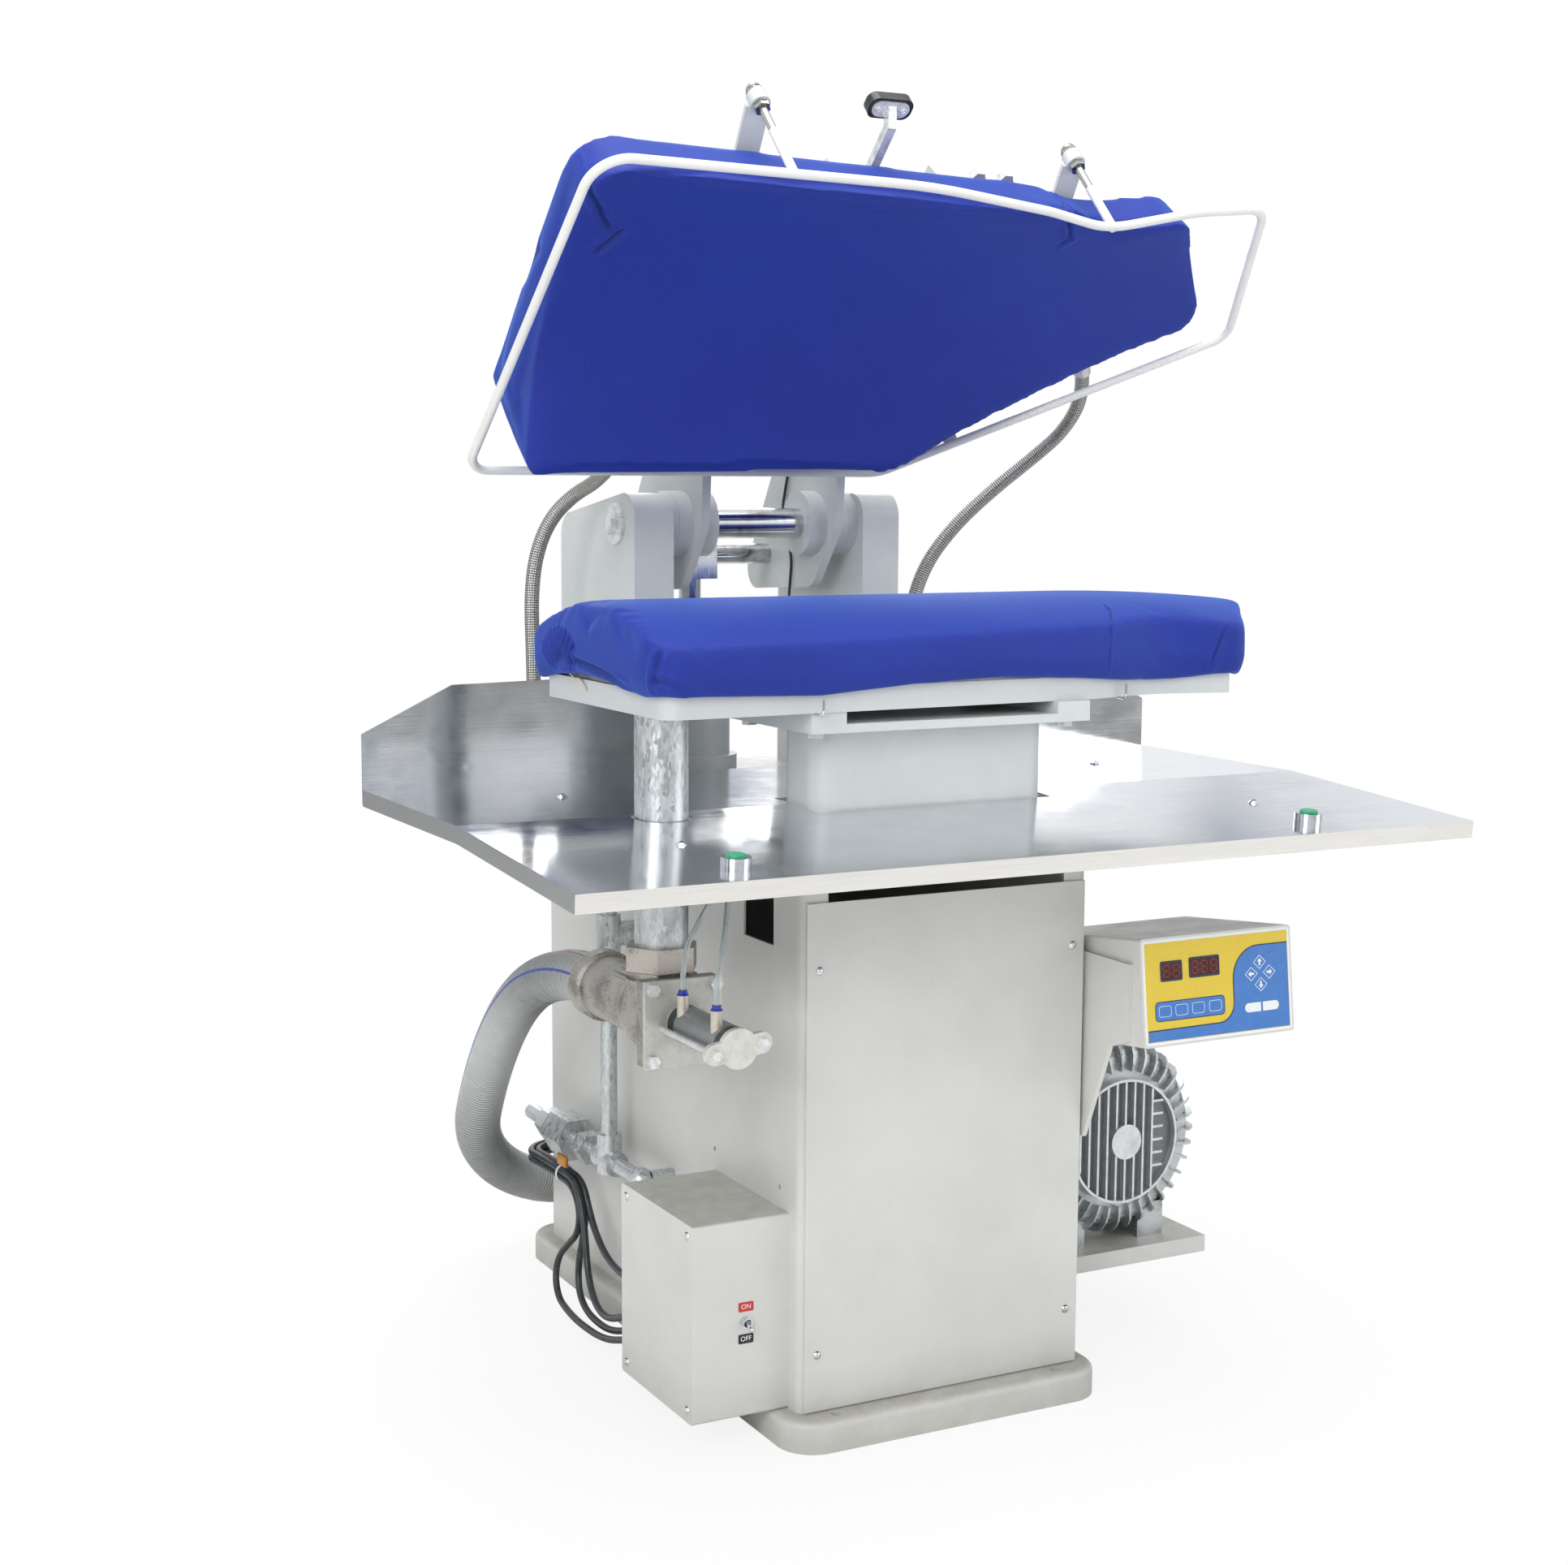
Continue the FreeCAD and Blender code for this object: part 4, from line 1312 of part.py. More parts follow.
# Finned lid on the ring's front: upright ribs, short level ribs on the right third, a raised rim
lid = rod("lid_disc", "lid_radius", "lid_thick", ("0", "0", "0"))
lid_hub = rod("lid_hub", "hub_radius", "hub_high", ("0", "0", "-hub_high"))
ribs = []
for i in range(-5, 4):
    offset = "%d * lid_fin_step" % i
    reach = "sqrt((lid_radius - lid_rim) ^ 2 - (abs(%s) + lid_fin_thick / 2) ^ 2)" % offset
    ribs.append(block("lid_rib_%d" % (i + 5), ("lid_fin_thick", "2 * " + reach, "lid_fin"),
                      (offset + " - lid_fin_thick / 2", "-" + reach, "-lid_fin")))
for i in range(6):
    ribs.append(block("lid_stub_%d" % i, ("stub_long", "lid_fin_thick", "lid_fin"),
                      ("3 * lid_fin_step", "%d * stub_step - stub_top" % i, "-lid_fin")))
rim = cut("lid_rim_ring", rod("lid_rim_outer", "lid_radius", "lid_fin", ("0", "0", "-lid_fin")),
          rod("lid_rim_inner", "lid_radius - lid_rim - rim_lap", "lid_fin", ("0", "0", "-lid_fin")))
lid_solid = join("lid_solid", lid, lid_hub, rim, *ribs)
plug_ring = rod("lid_spigot", "blower_inner - hole_gap", "lid_thick", ("0", "0", "lid_thick"))
node("blower_lid", on_blower(join("blower_lid_solid", lid_solid, plug_ring), "-lid_thick"))

# Impeller in the chamber, on the motor's spindle
disc = rod("impeller_disc", "impeller_radius - blade_long", "impeller_plate", ("0", "0", "0"))
hub = rod("impeller_hub_disc", "impeller_hub", "2 * impeller_plate", ("0", "0", "0"))
spindle = rod("impeller_spindle", "spindle", "blower_deep - lid_thick - impeller_gap + spindle_in_motor",
              ("0", "0", "0"))
blades = []
for i in range(int(s.blade_count)):
    blade = block("blade_%d" % i, ("blade_long + blade_root", "blade_thick", "2 * impeller_plate"),
                  ("0", "0", "0"))
    turn = i * 360 / s.blade_count
    blade.Placement.Rotation = Rotation(Vector(0, 0, 1), turn)
    reach = "(impeller_radius - blade_long - blade_root)"
    bind(blade, AT[:2], ("%s * cos(%f) + blade_thick / 2 * sin(%f)" % (reach, turn, turn),
                         "%s * sin(%f) - blade_thick / 2 * cos(%f)" % (reach, turn, turn)))
    blades.append(blade)
impeller = join("impeller_solid", disc, hub, spindle, *blades)
node("blower_impeller", on_blower(impeller, "lid_thick + impeller_gap"))

# Motor behind the housing: finned barrel and fan cowl
motor = rod("motor_barrel", "motor_radius - motor_fin", "motor_long", ("0", "0", "0"))
cowl = rod("motor_cowl", "motor_radius", "cowl_long", ("0", "0", "motor_long - cowl_long"))
fins = []
for i in range(int(s.motor_fins)):
    turn = (i + 0.5) * 360 / s.motor_fins
    size = ("motor_fin + blade_root", "motor_fin_thick", "motor_long - cowl_long")
    fin = block("motor_fin_%d" % i, size, ("0", "0", "0"))
    fin.Placement.Rotation = Rotation(Vector(0, 0, 1), turn)
    reach = "(motor_radius - motor_fin - blade_root)"
    bind(fin, AT[:2], ("%s * cos(%f) + motor_fin_thick / 2 * sin(%f)" % (reach, turn, turn),
                       "%s * sin(%f) - motor_fin_thick / 2 * cos(%f)" % (reach, turn, turn)))
    fins.append(fin)
spindle_room = rod("motor_bore", "spindle + running_gap", "2 * spindle_in_motor", ("0", "0", "0"))
motor = cut("motor_bored", join("motor_solid", motor, cowl, *fins), spindle_room)
node("blower_motor", on_blower(motor, "blower_deep"))

# Checks and export
doc.recompute()
for item in doc.Objects:
    if "Invalid" in item.State or "Error" in item.State:
        raise RuntimeError("%s is %s" % (item.Label, item.State))
os.makedirs("parts", exist_ok=True)
for item in NODES:
    shape = item.Shape
    if shape.isNull() or not shape.isValid() or not shape.Solids:
        raise RuntimeError(item.Label + " has no valid solid")
    box = shape.BoundBox
    print("%-18s solids %2d  x %7.1f %7.1f  y %7.1f %7.1f  z %7.1f %7.1f" % (
        item.Label, len(shape.Solids), box.XMin, box.XMax, box.YMin, box.YMax, box.ZMin, box.ZMax))
    shape.exportStep("parts/%s.step" % item.Label)
print(len(NODES), "nodes")
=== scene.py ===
# %% [markdown]
# # A steam body press, dressed in Blender
# The press is a laundry machine: a padded lower half, the buck, stands on a pedestal, and a padded upper
# half, the head, swings down on it. The rigid pieces come from the CAD model, which is loaded here as a fixed
# frame in metres. This lesson gives them their finishes and makes the soft goods, hoses and small fittings
# that a solid modeller draws only roughly.

# %% Load the frame
import math

import bmesh
import bpy
import numpy as np
from mathutils import Matrix, Vector


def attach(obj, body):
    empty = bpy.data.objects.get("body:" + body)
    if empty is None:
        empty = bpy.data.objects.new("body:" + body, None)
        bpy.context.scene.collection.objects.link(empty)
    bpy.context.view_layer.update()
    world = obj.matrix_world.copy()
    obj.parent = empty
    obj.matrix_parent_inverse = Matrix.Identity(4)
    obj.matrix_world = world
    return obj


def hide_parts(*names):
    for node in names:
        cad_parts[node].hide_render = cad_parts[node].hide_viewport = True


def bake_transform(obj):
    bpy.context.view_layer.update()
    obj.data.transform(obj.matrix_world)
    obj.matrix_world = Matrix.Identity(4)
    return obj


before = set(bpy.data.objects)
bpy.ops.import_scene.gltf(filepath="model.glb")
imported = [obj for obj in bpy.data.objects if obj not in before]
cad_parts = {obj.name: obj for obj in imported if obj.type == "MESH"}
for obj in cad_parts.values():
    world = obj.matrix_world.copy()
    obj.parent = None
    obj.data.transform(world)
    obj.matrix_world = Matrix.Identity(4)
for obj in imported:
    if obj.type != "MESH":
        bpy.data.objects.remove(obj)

bpy.ops.object.select_all(action="DESELECT")
scene = bpy.context.scene
scene.view_settings.view_transform = "Standard"
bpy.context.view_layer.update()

# %% [markdown]
# ## Camera
# The photograph was taken from the operator's left, a little above the pressing height. The place and turn
# below were solved from straight edges of the table and the column. A camera could be aimed with a Track To
# constraint, but a matrix from three directions also holds the slight roll.

# %% Camera
MM = 0.001


def metres(*sizes):
    """Millimetres, as on the drawing, to metres."""
    return tuple(size * MM for size in sizes)


yaw, pitch, roll = (math.radians(angle) for angle in (27.7, -7.3, 0.3))
forward = Vector((math.sin(yaw) * math.cos(pitch), math.cos(yaw) * math.cos(pitch), math.sin(pitch)))
level = Vector((math.cos(yaw), -math.sin(yaw), 0))
over = level.cross(forward)
right = math.cos(roll) * level + math.sin(roll) * over
up = math.cos(roll) * over - math.sin(roll) * level
bpy.ops.object.camera_add(location=metres(-1432.2, -2697.0, 1110.2))
camera = bpy.context.object
camera.name = "photo_camera"
camera.rotation_euler = Matrix((right, up, -forward)).transposed().to_euler()
camera.data.sensor_width = 36
camera.data.lens = 2925.8 / 1932 * camera.data.sensor_width
camera.data.clip_end = 60
scene.camera = camera
print("camera: lens", round(camera.data.lens, 2), "mm")

# %% [markdown]
# ## Colours and nodes
# Colours are written as the hex values of a paint chart. Blender reckons in linear light, so one function
# turns them. A second one adds a shader node, sets it and links it. The short functions after it name the
# nodes that return in every finish: clouds, ramps, blends and sums.

# %% Colours and nodes
def linear(code):
    """A hex colour, #RRGGBB, as linear red, green, blue and alpha."""
    shares = [int(code[i:i + 2], 16) / 255 for i in (1, 3, 5)]
    return (*(c / 12.92 if c <= 0.04045 else ((c + 0.055) / 1.055) ** 2.4 for c in shares), 1.0)


def add(owner, kind, inputs=None, out=0, **settings):
    """Adds one shader node and gives one of its outputs, or all of them where out is None.

    It goes into owner's tree. settings are the node's properties, inputs are values or the sockets linked to it.
    """
    tree = owner.id_data
    made = tree.nodes.new("ShaderNode" + kind)
    for name, value in settings.items():
        setattr(made, name, value)
    for name, value in (inputs or {}).items():
        if isinstance(value, bpy.types.NodeSocket):
            tree.links.new(value, made.inputs[name])
        else:
            made.inputs[name].default_value = value
    return made.outputs if out is None else made.outputs[out]


def per(size_mm):
    """The scale of a texture whose detail repeats about every size_mm, on coordinates in metres."""
    return 1 / (size_mm * MM)


def noise(place, size_mm, detail=2.0, roughness=0.5):
    """Clouds about size_mm across, 0 to 1."""
    return add(place, "TexNoise", {"Vector": place, "Scale": per(size_mm), "Detail": detail, "Roughness": roughness})


def ramp(value, start, end, low=0.0, high=1.0):
    """Takes start..end to low..high, and stops there."""
    return add(value, "MapRange", {0: value, 1: start, 2: end, 3: low, 4: high})


def mix(share, first, second):
    """Blends two colours, each a hex value or a socket, by share."""
    first, second = (linear(tone) if isinstance(tone, str) else tone for tone in (first, second))
    return add(share, "MixRGB", {0: share, 1: first, 2: second})


def tint(first, second, source, start, end, most=1.0):
    """Blends first into second while source goes from start to end, by a share that ends at most."""
    return mix(ramp(source, start, end, high=most), first, second)


def maths(operation, *values):
    """A sum of numbers and sockets, of which the first is a socket."""
    return add(values[0], "Math", dict(enumerate(values)), operation=operation)


def product(first, *others):
    for other in others:
        first = maths("MULTIPLY", first, other)
    return first


def coordinate(vector, name):
    return add(vector, "SeparateXYZ", {0: vector}, out=name)


def lay(shader, height=None, strength=0.1, depth=0.2, **sockets):
    """Links tone, rough, metal and a bump, depth in millimetres, to a shader."""
    if height is not None:
        sockets["bump"] = add(shader, "Bump", {"Height": height, "Strength": strength, "Distance": depth * MM})
    names = {"tone": "Base Color", "rough": "Roughness", "metal": "Metallic", "bump": "Normal"}
    for use, socket in sockets.items():
        shader.id_data.links.new(socket, shader.inputs[names[use]])


def new_finish(name, colour, roughness, metallic=0.0, **values):
    """A material with its shader's plain values set; gives its shader and Object coordinates too."""
    material = bpy.data.materials.new(name)
    material.use_nodes = True
    shader = material.node_tree.nodes["Principled BSDF"]
    values.update(Base_Color=linear(colour), Roughness=roughness, Metallic=metallic)
    for socket, value in values.items():
        shader.inputs[socket.replace("_", " ")].default_value = value
    return material, shader, add(shader, "TexCoord", out="Object")


print("helpers: linear, add, noise, ramp, mix, tint, maths, product, coordinate, lay, new_finish")

# %% [markdown]
# ## Studio
# The photograph is cut out on white, yet its metals reflect a room: a pale hall with dark blue-grey patches
# at eye height. So the world answers three kinds of ray. The camera sees plain white, mirrors see the hall,
# and all other light comes from an even, weaker sky. An image of a hall could do the same, but noise needs no
# file. The floor is a wide pale plane that keeps a faint shadow near the press and fades to white farther
# off.

# %% World
world = bpy.data.worlds.new("studio")
scene.world = world
world.use_nodes = True
tree = world.node_tree
tree.nodes.clear()
ray = add(tree, "LightPath", out=None)
way = add(tree, "TexCoord", out="Generated")
rise = coordinate(way, "Z")
wide = add(tree, "Mapping", {"Vector": way, "Scale": (3.2, 3.2, 2.0)})
patch = add(tree, "TexNoise", {"Vector": wide, "Scale": 1.6, "Detail": 2.0})
patch = ramp(patch, 0.53, 0.64)
low = ramp(rise, 0.02, 0.16)
high = ramp(rise, 0.72, 0.4)
hall = mix(product(low, high, patch), "#F4F6F8", "#505A7C")
mirror = add(tree, "Background", {"Color": hall, "Strength": 1.12})
room = add(tree, "Background", {"Color": linear("#F1F3F4"), "Strength": 0.44})
white = add(tree, "Background", {"Color": (1, 1, 1, 1), "Strength": 1.0})
both = add(tree, "MixShader", {0: ray["Is Glossy Ray"], 1: room, 2: mirror})
seen = maths("MAXIMUM", ray["Is Camera Ray"], ray["Is Transmission Ray"])
both = add(tree, "MixShader", {0: seen, 1: both, 2: white})
add(tree, "OutputWorld", {"Surface": both}, out=None)
print("world: white to the camera, a hall to mirrors")

# %% Floor and softboxes
material, shader, place = new_finish("pale_floor", "#F2F2F0", 0.9)
tree = material.node_tree
ray = add(tree, "LightPath", out=None)
glow = add(tree, "Emission", {"Color": (1, 1, 1, 1), "Strength": 1.0})
far = add(tree, "VectorMath", {0: place}, out="Value", operation="LENGTH")
plain = ramp(far, 0.45, 1.1, 0.86, 1.0)
both = add(tree, "MixShader", {0: product(ray["Is Camera Ray"], plain), 1: shader.outputs[0], 2: glow})
tree.links.new(both, tree.nodes["Material Output"].inputs["Surface"])
bpy.ops.mesh.primitive_plane_add(size=40)
floor = bpy.context.object
floor.name = "studio_floor"
floor.data.materials.append(material)


def softbox(name, place, target, size, power):
    """A square area lamp that looks at target."""
    bpy.ops.object.light_add(type="AREA", location=place)
    lamp = bpy.context.object
    lamp.name = name
    lamp.rotation_euler = (Vector(target) - Vector(place)).to_track_quat("-Z", "Y").to_euler()
    lamp.data.size = size
    lamp.data.energy = power
    return lamp


softbox("lamp_over", (-0.3, -0.4, 3.9), (0, -0.1, 0.8), 2.6, 98)
softbox("lamp_left", (-3.0, -2.6, 2.4), (-0.1, -0.1, 0.8), 2.2, 84)
softbox("lamp_right", (2.8, -2.6, 1.7), (0.1, -0.1, 0.7), 2.0, 32)
softbox("lamp_behind", (1.2, 3.0, 2.4), (0, 0.1, 0.8), 2.0, 40)
print("studio: floor, white background and four softboxes")

# %% [markdown]
# ## Enamelled sheet steel
# The column, boxes and base are sheet and cast iron under pale grey stoving enamel. Enamel has a soft gloss,
# a fine orange-peel texture from the spray gun and a faint clouding where hands and steam have been. Lint and
# brownish dust settle on faces that look up and near the floor. Noise at those sizes gives all of it, and the
# upward faces are found from the true normal. The peel, in truth under 1 mm, is drawn at 2.5 mm so that it
# shows.

# %% Enamel
def facing(shader, axis):
    """One coordinate of the true normal: how far a face looks along an axis."""
    return coordinate(add(shader, "NewGeometry", out="True Normal"), axis)


def enamel(name, clean, cloudy, grime, grime_height_mm, settled, dusty):
    """Sprayed enamel: clouded colour, dust near the floor and on upward faces, orange peel."""
    material, shader, place = new_finish(name, clean, 0.38)
    cloud = noise(place, 160, 5.0, 0.62)
    tone = tint(clean, cloudy, cloud, 0.35, 0.75)
    speck = noise(place, 7, 3.0)
    fleck = ramp(speck, 0.68, 0.8, high=0.2)
    patch = noise(place, 45, 6.0, 0.7)
    lint = ramp(patch, 0.28, 0.68, 0.25 * dusty, dusty)
    upward = ramp(facing(shader, "Z"), 0.55, 0.92)
    tone = mix(product(lint, upward), tone, settled)
    low = ramp(coordinate(place, "Z"), grime_height_mm * MM, 0.0, 0.0, 0.62)
    dirt = maths("MAXIMUM", product(low, patch), fleck)
    colour = mix(dirt, tone, grime)
    gloss = ramp(patch, 0.2, 0.8, 0.3, 0.5)
    peel = noise(place, 2.5, 1.0)
    lay(shader, tone=colour, rough=gloss, height=peel, strength=0.1, depth=0.4)
    return material


grey_enamel = enamel("grey_stoving_enamel", "#D9D9D6", "#CDCECB", "#8E887B", 90, "#A9A59A", 0.75)
pale_enamel = enamel("pale_machine_enamel", "#D5D9D9", "#C8CDCE", "#9A9890", 40, "#BDBDB8", 0.5)
white_enamel = enamel("white_tube_enamel", "#EBEBE8", "#E0E1DE", "#B9B5AA", 40, "#CFCDC6", 0.3)
print("finishes:", grey_enamel.name, pale_enamel.name, white_enamel.name)

# %% [markdown]
# A guard post is one piece with two finishes: the lower tube is painted with the ring, and the threaded rod
# above it is bare. Length along the post is a dot product with its direction, so one mask parts the two, and
# a sine of that length draws the thread in painted light and shade, pale crests and dark grooves, without
# relief. Its true pitch is 1.75 mm and it is drawn at 2.5 mm.

# %% Post paint and thread
POST_WAY = (0, 0.697, 0.71707)  # the direction of the guard posts
THREAD_MM = 2.5  # the pitch that is drawn
post_finish, shader, place = new_finish("painted_post_with_thread", "#E6E6E3", 0.36)
along = add(place, "VectorMath", {0: place, 1: POST_WAY}, out="Value", operation="DOT_PRODUCT")
bare = ramp(along, 0.8874, 0.8882)
# Painted light and shade of the thread: pale on the crests, dark in the grooves; the rod has no relief.
thread = maths("SINE", product(along, 2 * math.pi * per(THREAD_MM)))
steel = tint("#6B655B", "#D9D7D2", thread, -1.0, 0.6)
cloud = noise(place, 25, 4.0)
paint = mix(cloud, "#DCDCD8", "#EFEFED")
tone = mix(bare, paint, steel)
rough = ramp(bare, 0.0, 1.0, 0.38, 0.24)
lay(shader, tone=tone, rough=rough, metal=bare)
print("finish:", post_finish.name)

# %% [markdown]
# ## Bright metals
# The table is cold-rolled stainless sheet: nearly a mirror, with a fine grain along its length that draws
# reflections out. Shafts are ground and chromed, with round tool marks, and the handle and bolts are plated
# with nickel, brighter and less of a mirror. The pipework is zinc: hot-dip zinc freezes into leaf-like
# crystals of different greys, which a cell texture gives. Metals keep their default index of refraction, and
# differ in colour, roughness and the direction of their grain.

# %% Stainless sheet
def grain_along(place, stretch, size_mm, detail=4.0):
    """Noise drawn out along one axis: the rolling or grinding marks of a metal."""
    return noise(add(place, "Mapping", {"Vector": place, "Scale": stretch}), size_mm, detail)


def sheet_steel(name, folded):
    """Rolled stainless; on folded sheets the edges are duller, and light and shade are painted on them: pale cream
    on the front edge, grey on the side edges.
    """
    material, shader, place = new_finish(name, "#D3D5D8", 0.16, 1.0)
    grain = grain_along(place, (0.015, 1, 1), 1.2)
    smear = noise(place, 70, 5.0, 0.65)
    rough = ramp(product(grain, smear), 0.12, 0.42, 0.06, 0.2)
    tone = tint("#CDD0D4", "#DDDEDF", smear, 0.36, 0.66)
    if folded:
        # Painted light and shade on the folded edges: edges facing the front are painted pale cream as lit, the
        # other side edges grey as shaded.
        edge = ramp(maths("ABSOLUTE", facing(shader, "Z")), 0.85, 0.55)
        grey = mix(grain, "#A2A4A7", "#BCBDBE")
        lit_front_edge = mix(grain, "#E3DFDA", "#F4F3F1")
        fold = tint(grey, lit_front_edge, facing(shader, "Y"), -0.8, -0.95)
        tone = mix(edge, tone, fold)
        rough = maths("MULTIPLY_ADD", edge, 0.2, rough)
    lay(shader, tone=tone, rough=rough, height=grain, strength=0.06, depth=0.2)
    return material


stainless = sheet_steel("folded_stainless", True)
splash_steel = sheet_steel("rolled_stainless", False)
print("finishes:", stainless.name, splash_steel.name, "with grain along the table")

# %% Chrome
chrome, shader, place = new_finish("ground_chrome", "#D4D6DA", 0.12, 1.0)
turned = grain_along(place, (1, 0.08, 0.08), 1.5)
rough = ramp(turned, 0.3, 0.7, 0.06, 0.2)
film = noise(place, 22, 4.0)
tone = tint("#D4D6DA", "#A8A49C", film, 0.5, 0.72)
lay(shader, tone=tone, rough=rough, height=turned, strength=0.05, depth=0.1)
print("finish:", chrome.name, "with tool marks round the shafts")

# %% Nickel
nickel, shader, place = new_finish("satin_nickel", "#E4E5E6", 0.26, 0.4)
film = noise(place, 9, 5.0, 0.65)
tone = tint("#E6E7E8", "#B5B4B0", film, 0.45, 0.75)
rough = ramp(film, 0.3, 0.7, 0.16, 0.36)
lay(shader, tone=tone, rough=rough)
print("finish:", nickel.name)

# %% Zinc
zinc, shader, place = new_finish("hot_dip_zinc", "#B6BABC", 0.4, 0.85)
drawn = add(place, "Mapping", {"Vector": place, "Scale": (1, 1, 0.4)})
leaf = add(place, "TexVoronoi", {"Vector": drawn, "Scale": per(3)}, out="Color")
shade = coordinate(leaf, "X")
fine = noise(place, 1.6, 5.0, 0.7)
tone = mix(shade, "#AEB2B4", "#D0D3D4")
tone = tint(tone, "#77797A", fine, 0.62, 0.8, 0.42)
rough = ramp(shade, 0.0, 1.0, 0.26, 0.5)
lay(shader, tone=tone, rough=rough, height=fine, strength=0.12, depth=0.3)
print("finish:", zinc.name, "with 3 mm crystals")

# %% [markdown]
# ## Castings
# The valve elbow is a rough sand casting in zinc-washed iron, stained brown, and the blower is die-cast
# aluminium, smoother and paler. Sand leaves grains of about 1 mm; they are drawn at 1.4 to 2.6 mm here so
# that they show. Dirt settles in the hollows of the grain, so the same noise sets height and colour.

# %% Cast iron and cast aluminium
def casting(name, bright, dull, stain, grain_mm, depth_mm, roughness):
    """A cast metal skin: grain, clouded grey and stains in the hollows."""
    material, shader, place = new_finish(name, bright, roughness, 0.85)
    sand = noise(place, grain_mm, 6.0, 0.65)
    cloud = noise(place, 35, 5.0)
    tone = mix(cloud, dull, bright)
    tone = tint(tone, stain, product(sand, cloud), 0.27, 0.14, 0.85)
    rough = ramp(cloud, 0.3, 0.7, roughness - 0.1, roughness + 0.15)
    lay(shader, tone=tone, rough=rough, height=sand, strength=0.5, depth=depth_mm)
    return material


cast_iron = casting("sand_cast_iron", "#B9B6B0", "#8F8C86", "#5F574E", 2.6, 1.0, 0.42)
nut_iron = casting("malleable_nut_iron", "#C9C2BA", "#B3ABA3", "#6F665E", 2.4, 0.4, 0.42)
cast_aluminium = casting("die_cast_aluminium", "#CDD0D2", "#B6BABC", "#868A8C", 1.4, 0.2, 0.34)
platen_aluminium = casting("platen_aluminium", "#C4C6C6", "#A9ABAB", "#7C7A74", 1.6, 0.25, 0.4)
print("finishes:", cast_iron.name, nut_iron.name, cast_aluminium.name, platen_aluminium.name)

# %% [markdown]
# ## Stretch cover
# Both halves wear a tight royal-blue cover of brushed polyamide jersey over padding. It is knitted, so under
# a glass it shows rows of small loops, and its brushed fibres catch light at the edges: that is sheen, not
# gloss. The loops are 0.6 mm apart in truth and are drawn at 1.5 mm so that they show. Two waves across each
# other make them, and a wide noise gives the uneven stretch of the cloth. Folds lie in shade, so a value
# stored on the mesh where a fold is pressed paints that shade into the cloth's colour there.

# %% Stretch cover cloth
LOOP_MM = 1.5  # from one loop of the knit to the next
cover_cloth, shader, place = new_finish("blue_jersey", "#1C2C8C", 0.62, Sheen_Weight=0.5, Sheen_Roughness=0.45,
                                        Sheen_Tint=linear("#5C94F4"), Specular_IOR_Level=0.28)
rows, courses = (add(place, "TexWave", {"Vector": place, "Scale": per(2 * LOOP_MM), "Distortion": 0.6}, out="Fac",
                     bands_direction=way) for way in ("X", "DIAGONAL"))
loops = product(rows, courses)
fuzz = noise(place, 2.2, 4.0, 0.7)
pull = noise(place, 140, 3.0)
tone = mix(pull, "#1A2680", "#1F3296")
tone = tint(tone, "#2742A8", fuzz, 0.35, 0.72, 0.32)
crease = add(shader, "Attribute", out="Fac", attribute_name="crease")
# Painted shade: the cloth's colour is darkened along the pressed folds.
tone = mix(crease, tone, "#0E1446")
height = maths("ADD", loops, fuzz)
lay(shader, tone=tone, height=height, strength=0.25, depth=0.25)
print("finish:", cover_cloth.name)

# %% [markdown]
# ## Rubber, plastic and print
# Cables wear black rubber, dulled by dust. The air lines are clear polyurethane. The caps of the start
# buttons and the grip are moulded plastic with a light texture. Each is one shader with a noise for its
# uneven gloss.

# %% Rubber and plastics
def moulding(name, colour, dusty, roughness, dust_share, grain_mm=3.0, clear=0.0):
    """A moulded polymer: dusty patches, uneven gloss and a fine grain."""
    material, shader, place = new_finish(name, colour, roughness, Transmission_Weight=clear, IOR=1.48)
    cloud = noise(place, 18, 5.0, 0.7)
    tone = tint(colour, dusty, cloud, 0.4, 0.75, dust_share)
    rough = ramp(cloud, 0.3, 0.7, max(0.04, roughness - 0.08), roughness + 0.14)
    grain = noise(place, grain_mm, 2.0)
    lay(shader, tone=tone, rough=rough, height=grain, strength=0.1, depth=0.2)
    return material


cable_rubber = moulding("cable_rubber", "#22262A", "#5A5F63", 0.34, 0.5)
grip_rubber = moulding("grip_plastic", "#17181A", "#4B4C4E", 0.3, 0.35)
green_plastic = moulding("green_button_plastic", "#23906A", "#5FB394", 0.35, 0.3)
clear_tube = moulding("clear_polyurethane", "#E4ECEE", "#C3CCD0", 0.1, 0.4, clear=0.7)
print("finishes:", cable_rubber.name, grip_rubber.name, green_plastic.name, clear_tube.name)

# %% [markdown]
# ## Pieces with several finishes
# Three pieces carry more than one finish. The valve's actuator is one CAD piece: a zinc plate, dark cylinder
# ends, a grey barrel, bright tie rods and a painted end cap with two ears. The push-in fittings have a blue
# release ring over a nickel body. The blower's lid is bright on its ribs and rim and dark in the hollows
# between. The finish is chosen by place: distance along the axis or from it. Separate faces with material
# slots would also do, but the CAD mesh isn't changed here.

# %% Actuator, fittings and blower lid
VALVE_X, VALVE_Z = -338.5, 515  # the valve's axis, along Y
BLOWER_X, BLOWER_Z = 349, 262  # the blower's axis, along Y


def from_axis(place, centre, across):
    """Distance from an axis through centre; across has 0 for the axis direction."""
    off = add(place, "VectorMath", {0: place, 1: centre}, operation="SUBTRACT")
    off = add(place, "VectorMath", {0: off, 1: across}, operation="MULTIPLY")
    return add(place, "VectorMath", {0: off}, out="Value", operation="LENGTH")


def zones(measure, bands, first):
    """Steps through colours along a measure: bands are (start in mm, colour)."""
    tone = linear(first)
    for start, colour in bands:
        step = ramp(measure, (start - 0.2) * MM, (start + 0.2) * MM)
        tone = mix(step, tone, colour)
    return tone


